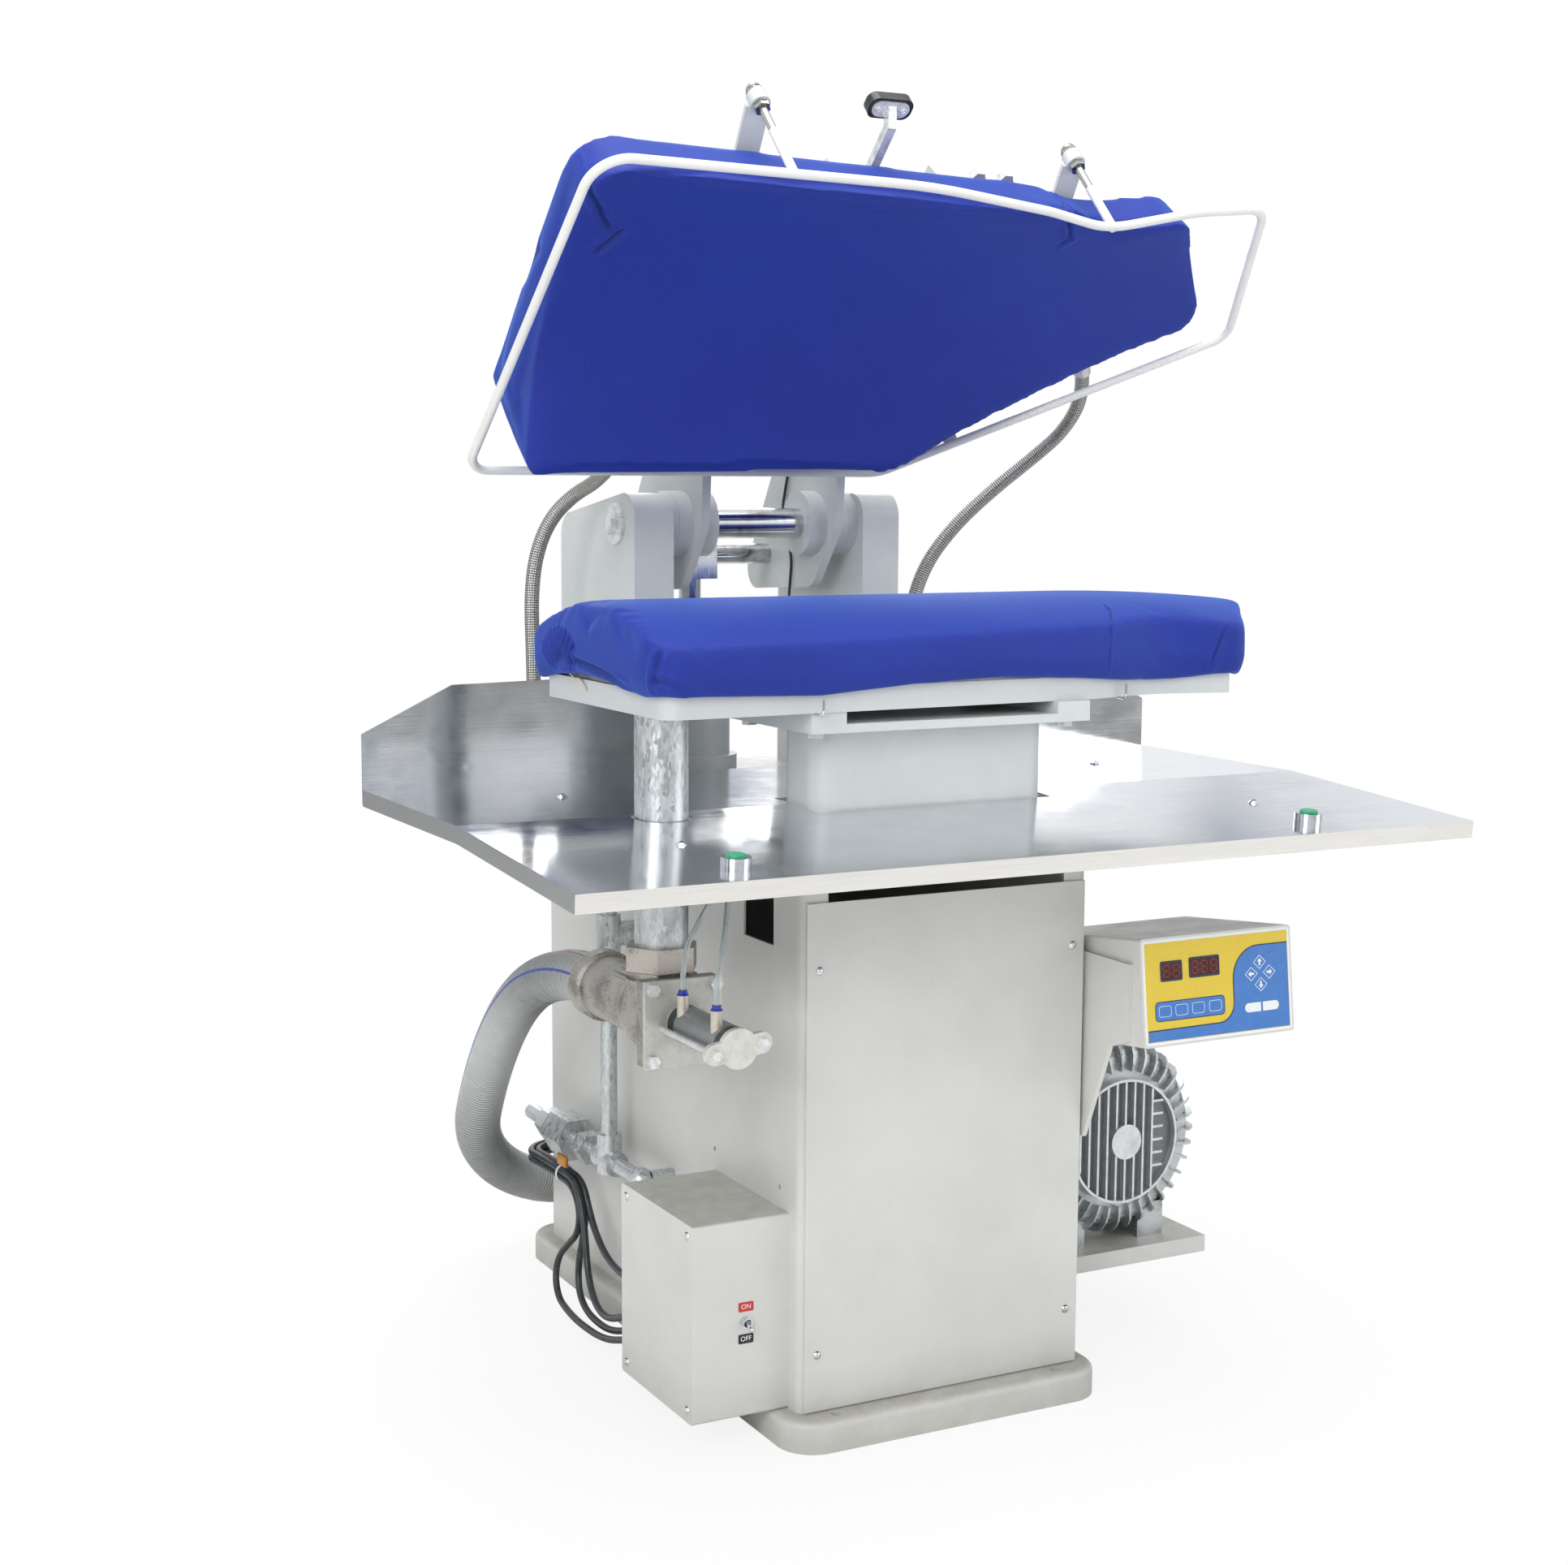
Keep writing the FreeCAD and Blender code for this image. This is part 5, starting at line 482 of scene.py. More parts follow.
def worn(place, shader, tone, dark, share):
    """Links a tone to the shader with a worn, cloudy darker layer over it."""
    cloud = noise(place, 14, 6.0, 0.7)
    tone = tint(tone, dark, cloud, 0.42, 0.72, share)
    rough = ramp(cloud, 0.3, 0.7, 0.26, 0.48)
    lay(shader, tone=tone, rough=rough)


actuator_finish, shader, place = new_finish("actuator_zinc_and_paint", "#8B8E8F", 0.38, 0.35)
length = coordinate(place, "Y")
tone = zones(length, [(-509, "#26343A"), (-496, "#85888A"), (-397, "#26343A"), (-381.5, "#C3C3BD")], "#D9D8D2")
rod = ramp(from_axis(place, metres(VALVE_X, 0, VALVE_Z), (1, 0, 1)), 22.2 * MM, 22.6 * MM)
inside = ramp(length, -0.3812, -0.3818)
beyond = ramp(length, -0.5092, -0.5088)
tone = mix(product(rod, inside, beyond), tone, "#D8D9DA")
worn(place, shader, tone, "#7C7A74", 0.3)

fitting_finish, shader, place = new_finish("nickel_fitting_with_blue_ring", "#C9C4B8", 0.3, 0.6)
worn(place, shader, zones(coordinate(place, "Z"), [(551, "#2B3FB0")], "#CFC9BC"), "#8A8478", 0.3)

lid_finish, shader, place = new_finish("ribbed_blower_lid", "#CDD0D2", 0.36, 0.8)
hollow = ramp(coordinate(place, "Y"), -0.2575, -0.2555)
front = ramp(facing(shader, "Y"), -0.3, -0.7)
inner = ramp(from_axis(place, metres(BLOWER_X, 0, BLOWER_Z), (1, 0, 1)), 78.6 * MM, 78.2 * MM)
tone = mix(product(hollow, front, inner), "#D6D8D9", "#6E7275")
worn(place, shader, tone, "#8E9193", 0.35)
print("finishes:", actuator_finish.name, fitting_finish.name, lid_finish.name)

# %% [markdown]
# The control face is a printed polyester film. Inks lie flat and even, so each is a clean colour with only a
# trace of wear and a satin gloss.

# %% Printed inks
def ink(name, colour, worn_colour, roughness=0.34, metallic=0.0):
    """A screen-printed ink on polyester film, or another even surface with a trace of wear."""
    material, shader, place = new_finish(name, colour, roughness, metallic)
    rub = noise(place, 12, 5.0, 0.7)
    tone = tint(colour, worn_colour, rub, 0.45, 0.8, 0.5)
    gloss = ramp(rub, 0.3, 0.7, roughness, roughness + 0.15)
    lay(shader, tone=tone, rough=gloss)
    return material


yellow_film = ink("yellow_film", "#E3C63B", "#D6BC4C")
blue_ink = ink("blue_ink", "#3E78C4", "#5C8CCB")
navy_ink = ink("navy_ink", "#16233F", "#2C3A55")
white_ink = ink("white_ink", "#F1F3F4", "#DDE0E2")
red_window = ink("red_display_window", "#3A0D10", "#4B1518", 0.12)
lit_red = ink("red_segments", "#8F1C1E", "#A32A2A", 0.2)
red_ink = ink("red_legend_ink", "#C42D2B", "#B34441")
black_ink = ink("black_legend_ink", "#1B1C1E", "#37393B")
cream_yarn = ink("cotton_string", "#DCCDB0", "#B79F78", 0.8)
nylon = ink("white_nylon", "#EDEEEE", "#D6D8D8", 0.4)
brass = ink("brass_lever", "#B9803A", "#8E6330", 0.32, 0.8)
print("inks: 8, and string, nylon, brass")

# %% [markdown]
# ## Finishes on the CAD nodes
# Rigid pieces keep their CAD shape and only change their material, so a list of names per finish is enough.

# %% Dress the CAD nodes
def dress(material, *names):
    """Gives CAD nodes a finish in place of their plain colour."""
    for name in names:
        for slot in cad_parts[name].material_slots:
            slot.material = material


dress(grey_enamel, "base_plate", "column_shell", "front_panel", "switch_box", "switch_cover", "control_box",
      "control_bracket", "blower_shelf", "table_frame")
dress(pale_enamel, "pedestal", "saddle_plate", "buck_tray", "cheek_left", "cheek_right", "arm_left", "arm_right",
      "press_cylinder", "guard_brackets")
dress(white_enamel, "guard_ring")
dress(post_finish, "guard_posts")
dress(stainless, "table_rear", "table_front")
dress(splash_steel, "backsplashes")
dress(chrome, "main_shaft", "link_shaft", "lift_rod", "button_bodies", "dome_screws", "switch_bush", "switch_lever",
      "cover_hooks", "valve_plug")
dress(nickel, "handle_bar", "hose_fittings", "head_studs", "hex_bolts")
dress(zinc, "suction_pipe", "steam_pipework", "hose_elbows")
dress(cast_iron, "valve_body")
dress(nut_iron, "union_nut")
dress(actuator_finish, "valve_actuator")
dress(fitting_finish, "air_fittings")
dress(cast_aluminium, "blower_housing", "blower_impeller", "blower_motor")
dress(lid_finish, "blower_lid")
dress(platen_aluminium, "head_platen", "buck_platen")
dress(green_plastic, "button_cap_left", "button_cap_right")
dress(grip_rubber, "handle_grip")
dress(yellow_film, "control_face")
worn_now = {slot.material.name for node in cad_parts.values() for slot in node.material_slots}
print("finishes on the CAD nodes:", len(worn_now))

# %% [markdown]
# ## Cords
# A hose or cable is a fixed length of something that bends smoothly, so its line is a NURBS spline over
# the control points of the CAD route. Round cables stay curves with a round section. Hoses that show a braid
# or ribs become mesh tubes: rings are set along points read from the spline, and a UV map runs round and
# along them so that the pattern follows the hose.

# %% Route and tube makers
CURVE_DETAIL = 14  # steps between two control points of a cable


def route_line(name, points_mm, radius, detail=CURVE_DETAIL):
    """A curve of one NURBS spline whose control points are given in millimetres."""
    curve = bpy.data.curves.new(name, "CURVE")
    curve.dimensions = "3D"
    spline = curve.splines.new("NURBS")
    spline.points.add(len(points_mm) - 1)
    for knot, point in zip(spline.points, points_mm):
        knot.co = (*metres(*point), 1)
    spline.order_u = 3
    spline.use_endpoint_u = True
    spline.resolution_u = detail
    curve.bevel_depth = radius * MM
    curve.bevel_resolution = 4
    curve.use_fill_caps = True
    line = bpy.data.objects.new(name, curve)
    scene.collection.objects.link(line)
    return line


def points_on(points_mm, detail):
    """The places that the spline itself goes through, in metres."""
    guide = route_line("route_guide", points_mm, 0, detail)
    mesh = bpy.data.meshes.new_from_object(guide)
    places = [vertex.co.copy() for vertex in mesh.vertices]
    bpy.data.objects.remove(guide)
    bpy.data.meshes.remove(mesh)
    return places


def length_of(places):
    return sum((b - a).length for a, b in zip(places, places[1:]))


def hose_mesh(name, places, sides, radius_at, side=Vector((0, 0, 1))):
    """A capped mesh tube along places; its UV runs once round and, along, by the hose's girth."""
    rings, uvs, run, girth = [], [], 0.0, 2 * math.pi * radius_at(0.0)
    for i, spot in enumerate(places):
        ahead = (places[min(i + 1, len(places) - 1)] - places[max(i - 1, 0)]).normalized()
        side = (side - side.dot(ahead) * ahead).normalized()
        other = ahead.cross(side)
        run += (spot - places[i - 1]).length if i else 0.0
        reach = radius_at(run)
        turns = [2 * math.pi * k / sides for k in range(sides)]
        rings += [spot + reach * (math.cos(t) * side + math.sin(t) * other) for t in turns]
        uvs.append(run / girth)
    faces, last = [], len(places) - 1
    for i in range(last):
        for k in range(sides):
            nxt = (k + 1) % sides
            faces.append((i * sides + k, i * sides + nxt, (i + 1) * sides + nxt, (i + 1) * sides + k))
    faces.append(tuple(reversed(range(sides))))
    faces.append(tuple(last * sides + k for k in range(sides)))
    mesh = bpy.data.meshes.new(name)
    mesh.from_pydata(rings, [], faces)
    layer = mesh.uv_layers.new(name="round_and_along")
    for n, polygon in enumerate(mesh.polygons):
        i, k = divmod(n, sides)
        if i < last:
            corners = ((k, i), (k + 1, i), (k + 1, i + 1), (k, i + 1))
            for loop, (u, v) in zip(polygon.loop_indices, corners):
                layer.data[loop].uv = (u / sides, uvs[v])
    mesh.polygons.foreach_set("use_smooth", [True] * len(mesh.polygons))
    hose = bpy.data.objects.new(name, mesh)
    scene.collection.objects.link(hose)
    return hose


def run_cable(name, route, diameter, material, replaced=None):
    """A round cable of the frame, its route and diameter in millimetres."""
    cable = route_line(name, route, diameter / 2)
    cable.data.materials.append(material)
    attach(cable, "frame")
    if replaced:
        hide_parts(replaced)
    measured = length_of(points_on(route, CURVE_DETAIL))
    print(name, round(measured, 3), "m")


def run_hose(name, route, detail, sides, radius_at, material, replaced, bend=None):
    """A mesh hose along a route.

    bend names the two points of the route between which it leaves the head for the frame; only whether it is given
    is used: such a hose is baked in place and joined to no body.
    """
    places = points_on(route, detail)
    hose = hose_mesh(name, places, sides, radius_at)
    hose.data.materials.append(material)
    if replaced:
        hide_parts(replaced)
    if bend:
        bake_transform(hose)
    else:
        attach(hose, "frame")
    print(name, round(length_of(places), 3), "m,", len(hose.data.polygons), "faces")


print("makers: route_line, points_on, hose_mesh, run_cable, run_hose")

# %% [markdown]
# ### Power cables
# Four black rubber cables leave the column low at its left rear corner, hang in loose arcs and come back up
# into the glands of the switch box. A curve with a round section is all that a plain cable needs.

# %% Power cables
PITCH = 9.6  # from cable to cable in the bundle


def bundle(column, row):
    """The first part of a cable's route, where the four run side by side, two by two."""
    a, b = PITCH * column, PITCH * row
    return [(-191, 340.8 - a, 171.2 + b), (4 * column - 221, 340.8 - a, 171.5 + b),
            (a - 252.8, 309 - 4 * column, 172.2 + b), (a - 251.8, 262, 174.2 + b), (a - 251.8, 192, 175.2 + b),
            (a - 250.8, 151.8 - b, 172.2 + b), (a - 250.8, 128.8 - b, 146)]


CABLES = {
    "power_cable_long": bundle(0, 0) + [
        (-251, 136, 112), (-254, 162, 91), (-257, 190, 66), (-260, 195, 36), (-263, 176, 13), (-266, 138, 8),
        (-270, 84, 7.5), (-272, 0, 14), (-273, -72, 38), (-272, -131, 58), (-272, -149, 58)],
    "power_cable_second": bundle(1, 0) + [
        (-243, 138, 104), (-246, 146, 70), (-250, 138, 38), (-254, 112, 22), (-257, 72, 16), (-259, 6, 20),
        (-258, -66, 48), (-256, -131, 78), (-256, -149, 78)],
    "power_cable_third": bundle(0, 1) + [
        (-252, 108, 112), (-254, 98, 80), (-258, 76, 54), (-263, 42, 40), (-268, -4, 42), (-271, -66, 66),
        (-272, -131, 98), (-272, -149, 98)],
    "power_cable_short": bundle(1, 1) + [
        (-242, 96, 122), (-244, 60, 104), (-248, 10, 98), (-254, -62, 106), (-256, -131, 118), (-256, -149, 118)],
}
for name, route in CABLES.items():
    run_cable(name, route, 9, cable_rubber, "power_cables" if name == "power_cable_long" else None)

# %% [markdown]
# ### Air lines
# Two clear tubes, 6 mm across, feed the valve's air cylinder. They rise straight out of their push-in
# fittings and bend back under the table.

# %% Air lines
for name, y, shift in (("air_line_rear", -400, 0), ("air_line_front", -484, 1)):
    route = [(-349.5, y, 556.5), (-349.5, y, 578.5), (-337.5, y + 14, 604.5), (-307.5, y + 40 + 24 * shift, 628.5),
             (-262, -330 - 6 * shift, 668 - 8 * shift), (-228, -296 - 2 * shift, 676 - 8 * shift),
             (-204, -270 - 16 * shift, 677 - 8 * shift), (-180, -270 - 16 * shift, 677 - 7 * shift)]
    run_cable(name, route, 6, clear_tube, None if shift else "air_tubes")

# %% [markdown]
# ### Steam hoses
# A steam hose is a corrugated steel bellows inside a braid of fine stainless wire. Ribbons of wires cross
# each other on two slants, over and under. Modelling wires would cost a million faces, so the braid is drawn
# on the UV map: two slanted waves, and where one is high the other passes under it. The ribbons are about 2.5
# mm wide. The hose bends with the head; here it is baked in place and joined to neither the head nor the frame.

# %% Steel braid
steel_braid, shader, _ = new_finish("steel_braid", "#A9A7A3", 0.3, 1.0)
around = add(shader, "SeparateXYZ", {0: add(shader, "TexCoord", out="UV")}, out=None)
strands = 12
slants = []
for sign in (1, -1):
    turn = maths("ADD", around["X"], product(around["Y"], sign * 0.8))
    slants.append(maths("SINE", product(turn, strands * 2 * math.pi)))
relief = ramp(product(*slants), -0.8, 0.8)
# Painted shade and light: the low places, between and under the ribbons, are painted dark and the high places pale.
tone = mix(relief, "#4A4744", "#C9C8C5")
lay(shader, tone=tone, height=relief, strength=0.8, depth=0.6)
print("finish:", steel_braid.name, "with", strands, "ribbons each way")

# %% Steam hoses
STEAM_HOSES = {
    "steam_hose_left": [
        (-215, 38.68, 1164.02), (-215, 60.86, 1143.82), (-222, 124, 1106), (-240, 162, 1088), (-266, 180, 1056),
        (-284, 185, 1010), (-291, 184, 955), (-290, 182, 890), (-289.5, 180.5, 825), (-289, 180, 765),
        (-289, 179.4, 702)],
    "steam_hose_right": [
        (399.17, -52.22, 1251.43), (416.46, -31.79, 1221.71), (420, 18, 1176), (394, 58, 1138), (354, 92, 1096),
        (308, 118, 1046), (273, 138, 990), (257, 148, 925), (254, 150, 872), (254, 149.4, 826)],
}
for node, route in STEAM_HOSES.items():
    run_hose("braided_" + node, route, 22, 22, lambda run: 9.5 * MM, steel_braid,
             node, (1, -2))

# %% [markdown]
# ### Suction hose
# The hose from the valve to the blower is clear soft plastic with a steel spiral in its wall, so it looks
# grey and finely ribbed, with a blue and a red stripe printed along it. The ribs are modelled, one every 5
# mm, and light and shade are painted over them, pale on each crest and dark in each groove. The stripes lie at
# fixed places round the UV map.

# %% Suction hose plastic
hose_plastic, shader, place = new_finish("spiral_hose_plastic", "#A2A5A6", 0.32, Subsurface_Weight=0.15,
                                         Subsurface_Radius=(0.006, 0.006, 0.006), Coat_Weight=0.25)
around = add(shader, "SeparateXYZ", {0: add(shader, "TexCoord", out="UV")}, out=None)
RIB_PITCH = 5.0  # millimetres
girth_mm = 2 * math.pi * 31
# Painted light and shade: a pale band on each rib's crest and a dark one in the groove between.
rib_light_and_shade = maths("COSINE", product(around["Y"], girth_mm / RIB_PITCH * 2 * math.pi))
cloud = noise(place, 26, 6.0, 0.7)
tone = tint("#6E7172", "#C6C8C8", rib_light_and_shade, -1.0, 0.9)
tone = tint(tone, "#A3A4A2", cloud, 0.42, 0.74, 0.4)
for hue, spot in (("#1F3FA0", 0.80), ("#B03A42", 0.955)):
    off = maths("ABSOLUTE", maths("SUBTRACT", around["X"], spot))
    tone = tint(tone, hue, off, 0.011, 0.007, 0.9)
rough = ramp(cloud, 0.3, 0.7, 0.22, 0.5)
lay(shader, tone=tone, rough=rough)
print("finish:", hose_plastic.name)

# %% Suction hose
SUCTION_ROUTE = [
    (VALVE_X, -146.2, VALVE_Z), (VALVE_X, -80, VALVE_Z),
    (-338, 42, 484), (-337, 132, 434), (-334, 210, 366), (-330, 277, 287),
    (-320, 340, 204), (-258, 398, 130), (-160, 432, 87), (-60, 492, 84), (74, 499, 88), (187, 443, 104),
    (250, 333, 132), (250, 215, 160), (250, 110, 181), (250, 0, 190), (250, -70.7, 190.4), (250, -136.7, 190)]
run_hose("suction_spiral_hose", SUCTION_ROUTE, 88, 30,
         lambda run: (30.6 + 0.7 * math.cos(2 * math.pi * run / (RIB_PITCH * MM))) * MM,
         hose_plastic, "suction_hose")

# %% [markdown]
# ### Arm wire and drawstring
# A thin sensor wire runs down the right arm into the column; like the steam hoses, it is baked in place and
# joined to no body. The cover's cotton drawstring ends in a short tail under the gathers.

# %% Arm wire
WIRE = [(88.5, 186, 1150), (89, 193, 1118), (89, 200, 1099), (89, 211, 1066), (89, 196, 1034), (89, 181, 1002),
        (89, 186, 971), (89, 190, 940)]
run_hose("arm_wire", WIRE, 10, 10, lambda run: 1.9 * MM, cable_rubber,
         None, (2, 5))

# %% Drawstring
STRING = [(-380, -136, 890), (-376, -150, 886), (-374.5, -160, 879), (-374, -172, 881), (-374, -184, 876),
          (-374, -194, 868)]
run_cable("cover_drawstring", STRING, 2.8, cream_yarn)

# %% [markdown]
# ## Modelling helpers
# Small trim is modelled by hand in edit mode. Picking faces with the mouse isn't possible in a script, so
# faces are picked by a test of their normal. When a piece is done, its place goes into its mesh,
# and it is told which body of the mechanism it rides on.

# %% Helpers for small pieces
def only(piece):
    """Makes piece the one selected, active object."""
    bpy.ops.object.select_all(action="DESELECT")
    piece.select_set(True)
    bpy.context.view_layer.objects.active = piece


def choose(piece, test):
    """Goes into edit mode and selects the faces whose normal passes the test."""
    bpy.ops.object.mode_set(mode="EDIT")
    bpy.ops.mesh.select_mode(type="FACE")
    bpy.ops.mesh.select_all(action="DESELECT")
    shape = bmesh.from_edit_mesh(piece.data)
    for face in shape.faces:
        face.select_set(test(face.normal))
    bmesh.update_edit_mesh(piece.data)


def modify(piece, kind, **settings):
    """Adds a modifier to a piece, sets it and applies it."""
    only(piece)
    bpy.ops.object.modifier_add(type=kind)
    modifier = piece.modifiers[-1]
    for name, value in settings.items():
        setattr(modifier, name, value)
    bpy.ops.object.modifier_apply(modifier=modifier.name)


def soften(piece, width_mm):
    """Rounds the edges of a piece."""
    modify(piece, "BEVEL", width=width_mm * MM, segments=2, limit_method="ANGLE")


def bake(piece, place=None):
    """Puts a piece's place into its mesh."""
    if place is not None:
        piece.matrix_world = place
    only(piece)
    bpy.ops.object.transform_apply(location=True, rotation=True, scale=True)


def settle(piece, name, material, body, place=None):
    """Finishes a piece: its name, place, material and body."""
    piece.name = piece.data.name = name
    bake(piece, place)
    piece.data.materials.clear()
    piece.data.materials.append(material)
    bpy.ops.object.shade_smooth_by_angle(angle=math.radians(32))
    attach(piece, body)
    return piece


def at(*place_mm):
    """A move to a place in millimetres."""
    return Matrix.Translation(metres(*place_mm))


def tilt(degrees):
    """A turn about X."""
    return Matrix.Rotation(math.radians(degrees), 4, "X")


def gather(pieces):
    """Joins pieces into the first one."""
    bpy.ops.object.select_all(action="DESELECT")
    for piece in pieces:
        piece.select_set(True)
    bpy.context.view_layer.objects.active = pieces[0]
    bpy.ops.object.join()
    return pieces[0]


def block(size_mm, place_mm, round_mm=0.0):
    """A box made from a cube, its corners rounded."""
    bpy.ops.mesh.primitive_cube_add(size=1, location=metres(*place_mm))
    cube = bpy.context.object
    cube.scale = metres(*size_mm)
    bpy.ops.object.transform_apply(location=False, rotation=False, scale=True)
    if round_mm:
        soften(cube, round_mm)
    return cube


def front_of(x, z):
    """Where a line from the front, at x and z in millimetres, first meets the press."""
    spot = scene.ray_cast(bpy.context.evaluated_depsgraph_get(), metres(x, -2000, z), (0, 1, 0))[1]
    return spot.y / MM


print("helpers: only, choose, modify, soften, bake, settle, at, tilt, gather, block, front_of")

# %% [markdown]
# ## Valve casting
# The valve is cast in sand, so all its corners are round and the body swells where the plug moves. The CAD
# valve has sharp edges. A merged copy of it gets the square flange that the plate is bolted to, a voxel
# remesh melts both into one skin, smoothing rounds the corners, and the body is pushed out round its axis.

# %% Valve casting
def merged_copy(name, node):
    """A copy of a CAD node's mesh with its seams merged, selected and active."""
    copy = bpy.data.objects.new(name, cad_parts[node].data.copy())
    scene.collection.objects.link(copy)
    copy.data.materials.clear()
    only(copy)
    bpy.ops.object.mode_set(mode="EDIT")
    bpy.ops.mesh.select_all(action="SELECT")
    bpy.ops.mesh.remove_doubles(threshold=0.05 * MM)
    bpy.ops.object.mode_set(mode="OBJECT")
    return copy


def even(piece, voxel_mm, rounds):
    """Remeshes a piece to even quads and smooths it."""
    only(piece)
    piece.data.remesh_voxel_size = voxel_mm * MM
    bpy.ops.object.voxel_remesh()
    modify(piece, "SMOOTH", factor=0.5, iterations=rounds)


PLUG_Y, BULGE = -322, 9  # where the plug moves, and how far the body swells there
valve = gather([merged_copy("valve_casting", "valve_body"), block((92, 20, 96), (VALVE_X, -364, VALVE_Z))])
even(valve, 2.2, 6)
for vertex in valve.data.vertices:
    x, y, z = (c / MM for c in vertex.co)
    off = Vector((x - VALVE_X, 0, z - VALVE_Z))
    if 30 < off.length < 56 and z < 552 and y > -352:  # the body, without pipe, port and flange
        swelling = BULGE * math.exp(-((y - PLUG_Y) / 30) ** 2)
        vertex.co += off.normalized() * swelling * MM
settle(valve, "valve_casting", cast_iron, "frame")
bpy.ops.object.shade_smooth()
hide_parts("valve_body")
print("valve casting:", len(valve.data.polygons), "faces")

# %% [markdown]
# ## Print on the control face
# The face is a yellow film with a blue field that sweeps round its right and lower edges, two digit displays,
# a strip of four keys, four arrow keys and two white keys. A print is a flat shape, so each is drawn as a
# filled 2D curve and turned into a thin mesh; nested outlines leave holes. Names and lettering are left off.

# %% Flat shapes
FACE = at(200, -481, 579) @ tilt(-6.6) @ tilt(90)


def flat_shape(outlines, thick=0.12):
    """A flat print from closed outlines, right and down in millimetres, as a thin mesh."""
    curve = bpy.data.curves.new("print", "CURVE")
    curve.dimensions = "2D"
    curve.fill_mode = "BOTH"
    curve.extrude = thick / 2 * MM
    for outline in outlines:
        spline = curve.splines.new("POLY")
        spline.points.add(len(outline) - 1)
        for knot, (a, d) in zip(spline.points, outline):
            knot.co = (a * MM, -d * MM, 0, 1)
        spline.use_cyclic_u = True
    shape = bpy.data.objects.new("print", curve)
    scene.collection.objects.link(shape)
    only(shape)
    bpy.ops.object.convert(target="MESH")
    return bpy.context.object


def arc(centre, radius, start, end, steps=10):
    """Points of an arc, in degrees from right towards down."""
    turns = [math.radians(start + (end - start) * i / steps) for i in range(steps + 1)]
    return [(centre[0] + radius * math.cos(t), centre[1] + radius * math.sin(t)) for t in turns]


def rounded(a0, d0, a1, d1, r):
    """Outline of a rounded rectangle."""
    return (arc((a1 - r, d1 - r), r, 0, 90, 5) + arc((a0 + r, d1 - r), r, 90, 180, 5)
            + arc((a0 + r, d0 + r), r, 180, 270, 5) + arc((a1 - r, d0 + r), r, 270, 360, 5))


def frame_line(a0, d0, a1, d1, r, wide):
    """A rounded rectangle drawn as a line."""
    return [rounded(a0, d0, a1, d1, r), rounded(a0 + wide, d0 + wide, a1 - wide, d1 - wide, max(0.3, r - wide))]


def ribbon(points, wide):
    """The outline of a line of some width along points."""
    sides = [], []
    for i, (a, d) in enumerate(points):
        before, after = points[max(i - 1, 0)], points[min(i + 1, len(points) - 1)]
        run = math.hypot(after[0] - before[0], after[1] - before[1])
        off = ((before[1] - after[1]) / run * wide / 2, (after[0] - before[0]) / run * wide / 2)
        sides[0].append((a + off[0], d + off[1]))
        sides[1].append((a - off[0], d - off[1]))
    return sides[0] + sides[1][::-1]


def print_on_face(name, outlines, lift, material):
    """One ink of the control face, lifted a little over the film."""
    shape = flat_shape(outlines)
    settle(shape, name, material, "frame", FACE @ at(0, 0, 0.8 + lift))
    print(name, len(shape.data.polygons), "faces")


print("drawing: flat_shape, arc, rounded, frame_line, ribbon")

# %% Inks of the control face
sweep = ([(215.4, 20.4)] + arc((171, 58.4), 38, 270, 180) + arc((110, 85), 23, 0, 90) + [(6.6, 108.6)])
print_on_face("print_blue_field", [sweep + [(6.6, 121.4), (215.4, 121.4)]], 0.1, blue_ink)
strip = rounded(18.5, 76, 118, 97.5, 4)
print_on_face("print_blue_strip", [strip], 0.1, blue_ink)
DISPLAYS = [(28.7, 30, 56.7, 50, 2), (70.3, 28.5, 111.2, 49, 3)]
lines = [ribbon(sweep, 1.4)] + frame_line(17.5, 75, 119, 98.5, 5, 1.0)
print_on_face("print_navy_lines", lines, 0.2, navy_ink)
for number, (a0, d0, a1, d1, digits) in enumerate(DISPLAYS, 1):
    print_on_face("display_rim_%d" % number, frame_line(a0 - 2, d0 - 2, a1 + 2, d1 + 2, 2.5, 2.4), 0.3, navy_ink)
    print_on_face("display_window_%d" % number, [rounded(a0, d0, a1, d1, 1)], 0.2, red_window)
    segments, pitch = [], (a1 - a0) / digits
    for place in range(digits):
        left, right = a0 + pitch * place + 3, a0 + pitch * (place + 1) - 2.4
        top, bottom = d0 + 3.2, d1 - 3.2
        middle = (top + bottom) / 2
        for level in (top, middle, bottom):
            segments.append(rounded(left + 1, level - 0.7, right - 1, level + 0.7, 0.6))
        for side in (left, right):
            for high, low in ((top, middle), (middle, bottom)):
                segments.append(rounded(side - 0.7, high + 1, side + 0.7, low - 1, 0.6))
    print_on_face("display_digits_%d" % number, segments, 0.3, lit_red)

# %% Keys of the control face
keys = []
for a in (31.7, 55.6, 80, 105):
    keys += frame_line(a - 9, 80.3, a + 9, 93.3, 3, 0.5)
for a, d, turn in ((173, 41, 0), (187, 54, 1), (174, 68, 2), (160, 54.5, 3)):
    keys.append([(a - 9.5, d), (a, d - 8.5), (a + 9.5, d), (a, d + 8.5)])
    keys.append([(a - 8.5, d), (a, d - 7.6), (a + 8.5, d), (a, d + 7.6)])
    arrow = [(0, -4.6), (3.6, -0.4), (1.3, -0.4), (1.3, 4), (-1.3, 4), (-1.3, -0.4), (-3.6, -0.4)]
    for _ in range(turn):
        arrow = [(-y, x) for x, y in arrow]
    keys.append([(a + x, d + y) for x, y in arrow])
keys.append(arc((154.1, 94.5), 5.5, 90, 270) + [(172.5, 89), (172.5, 100)])
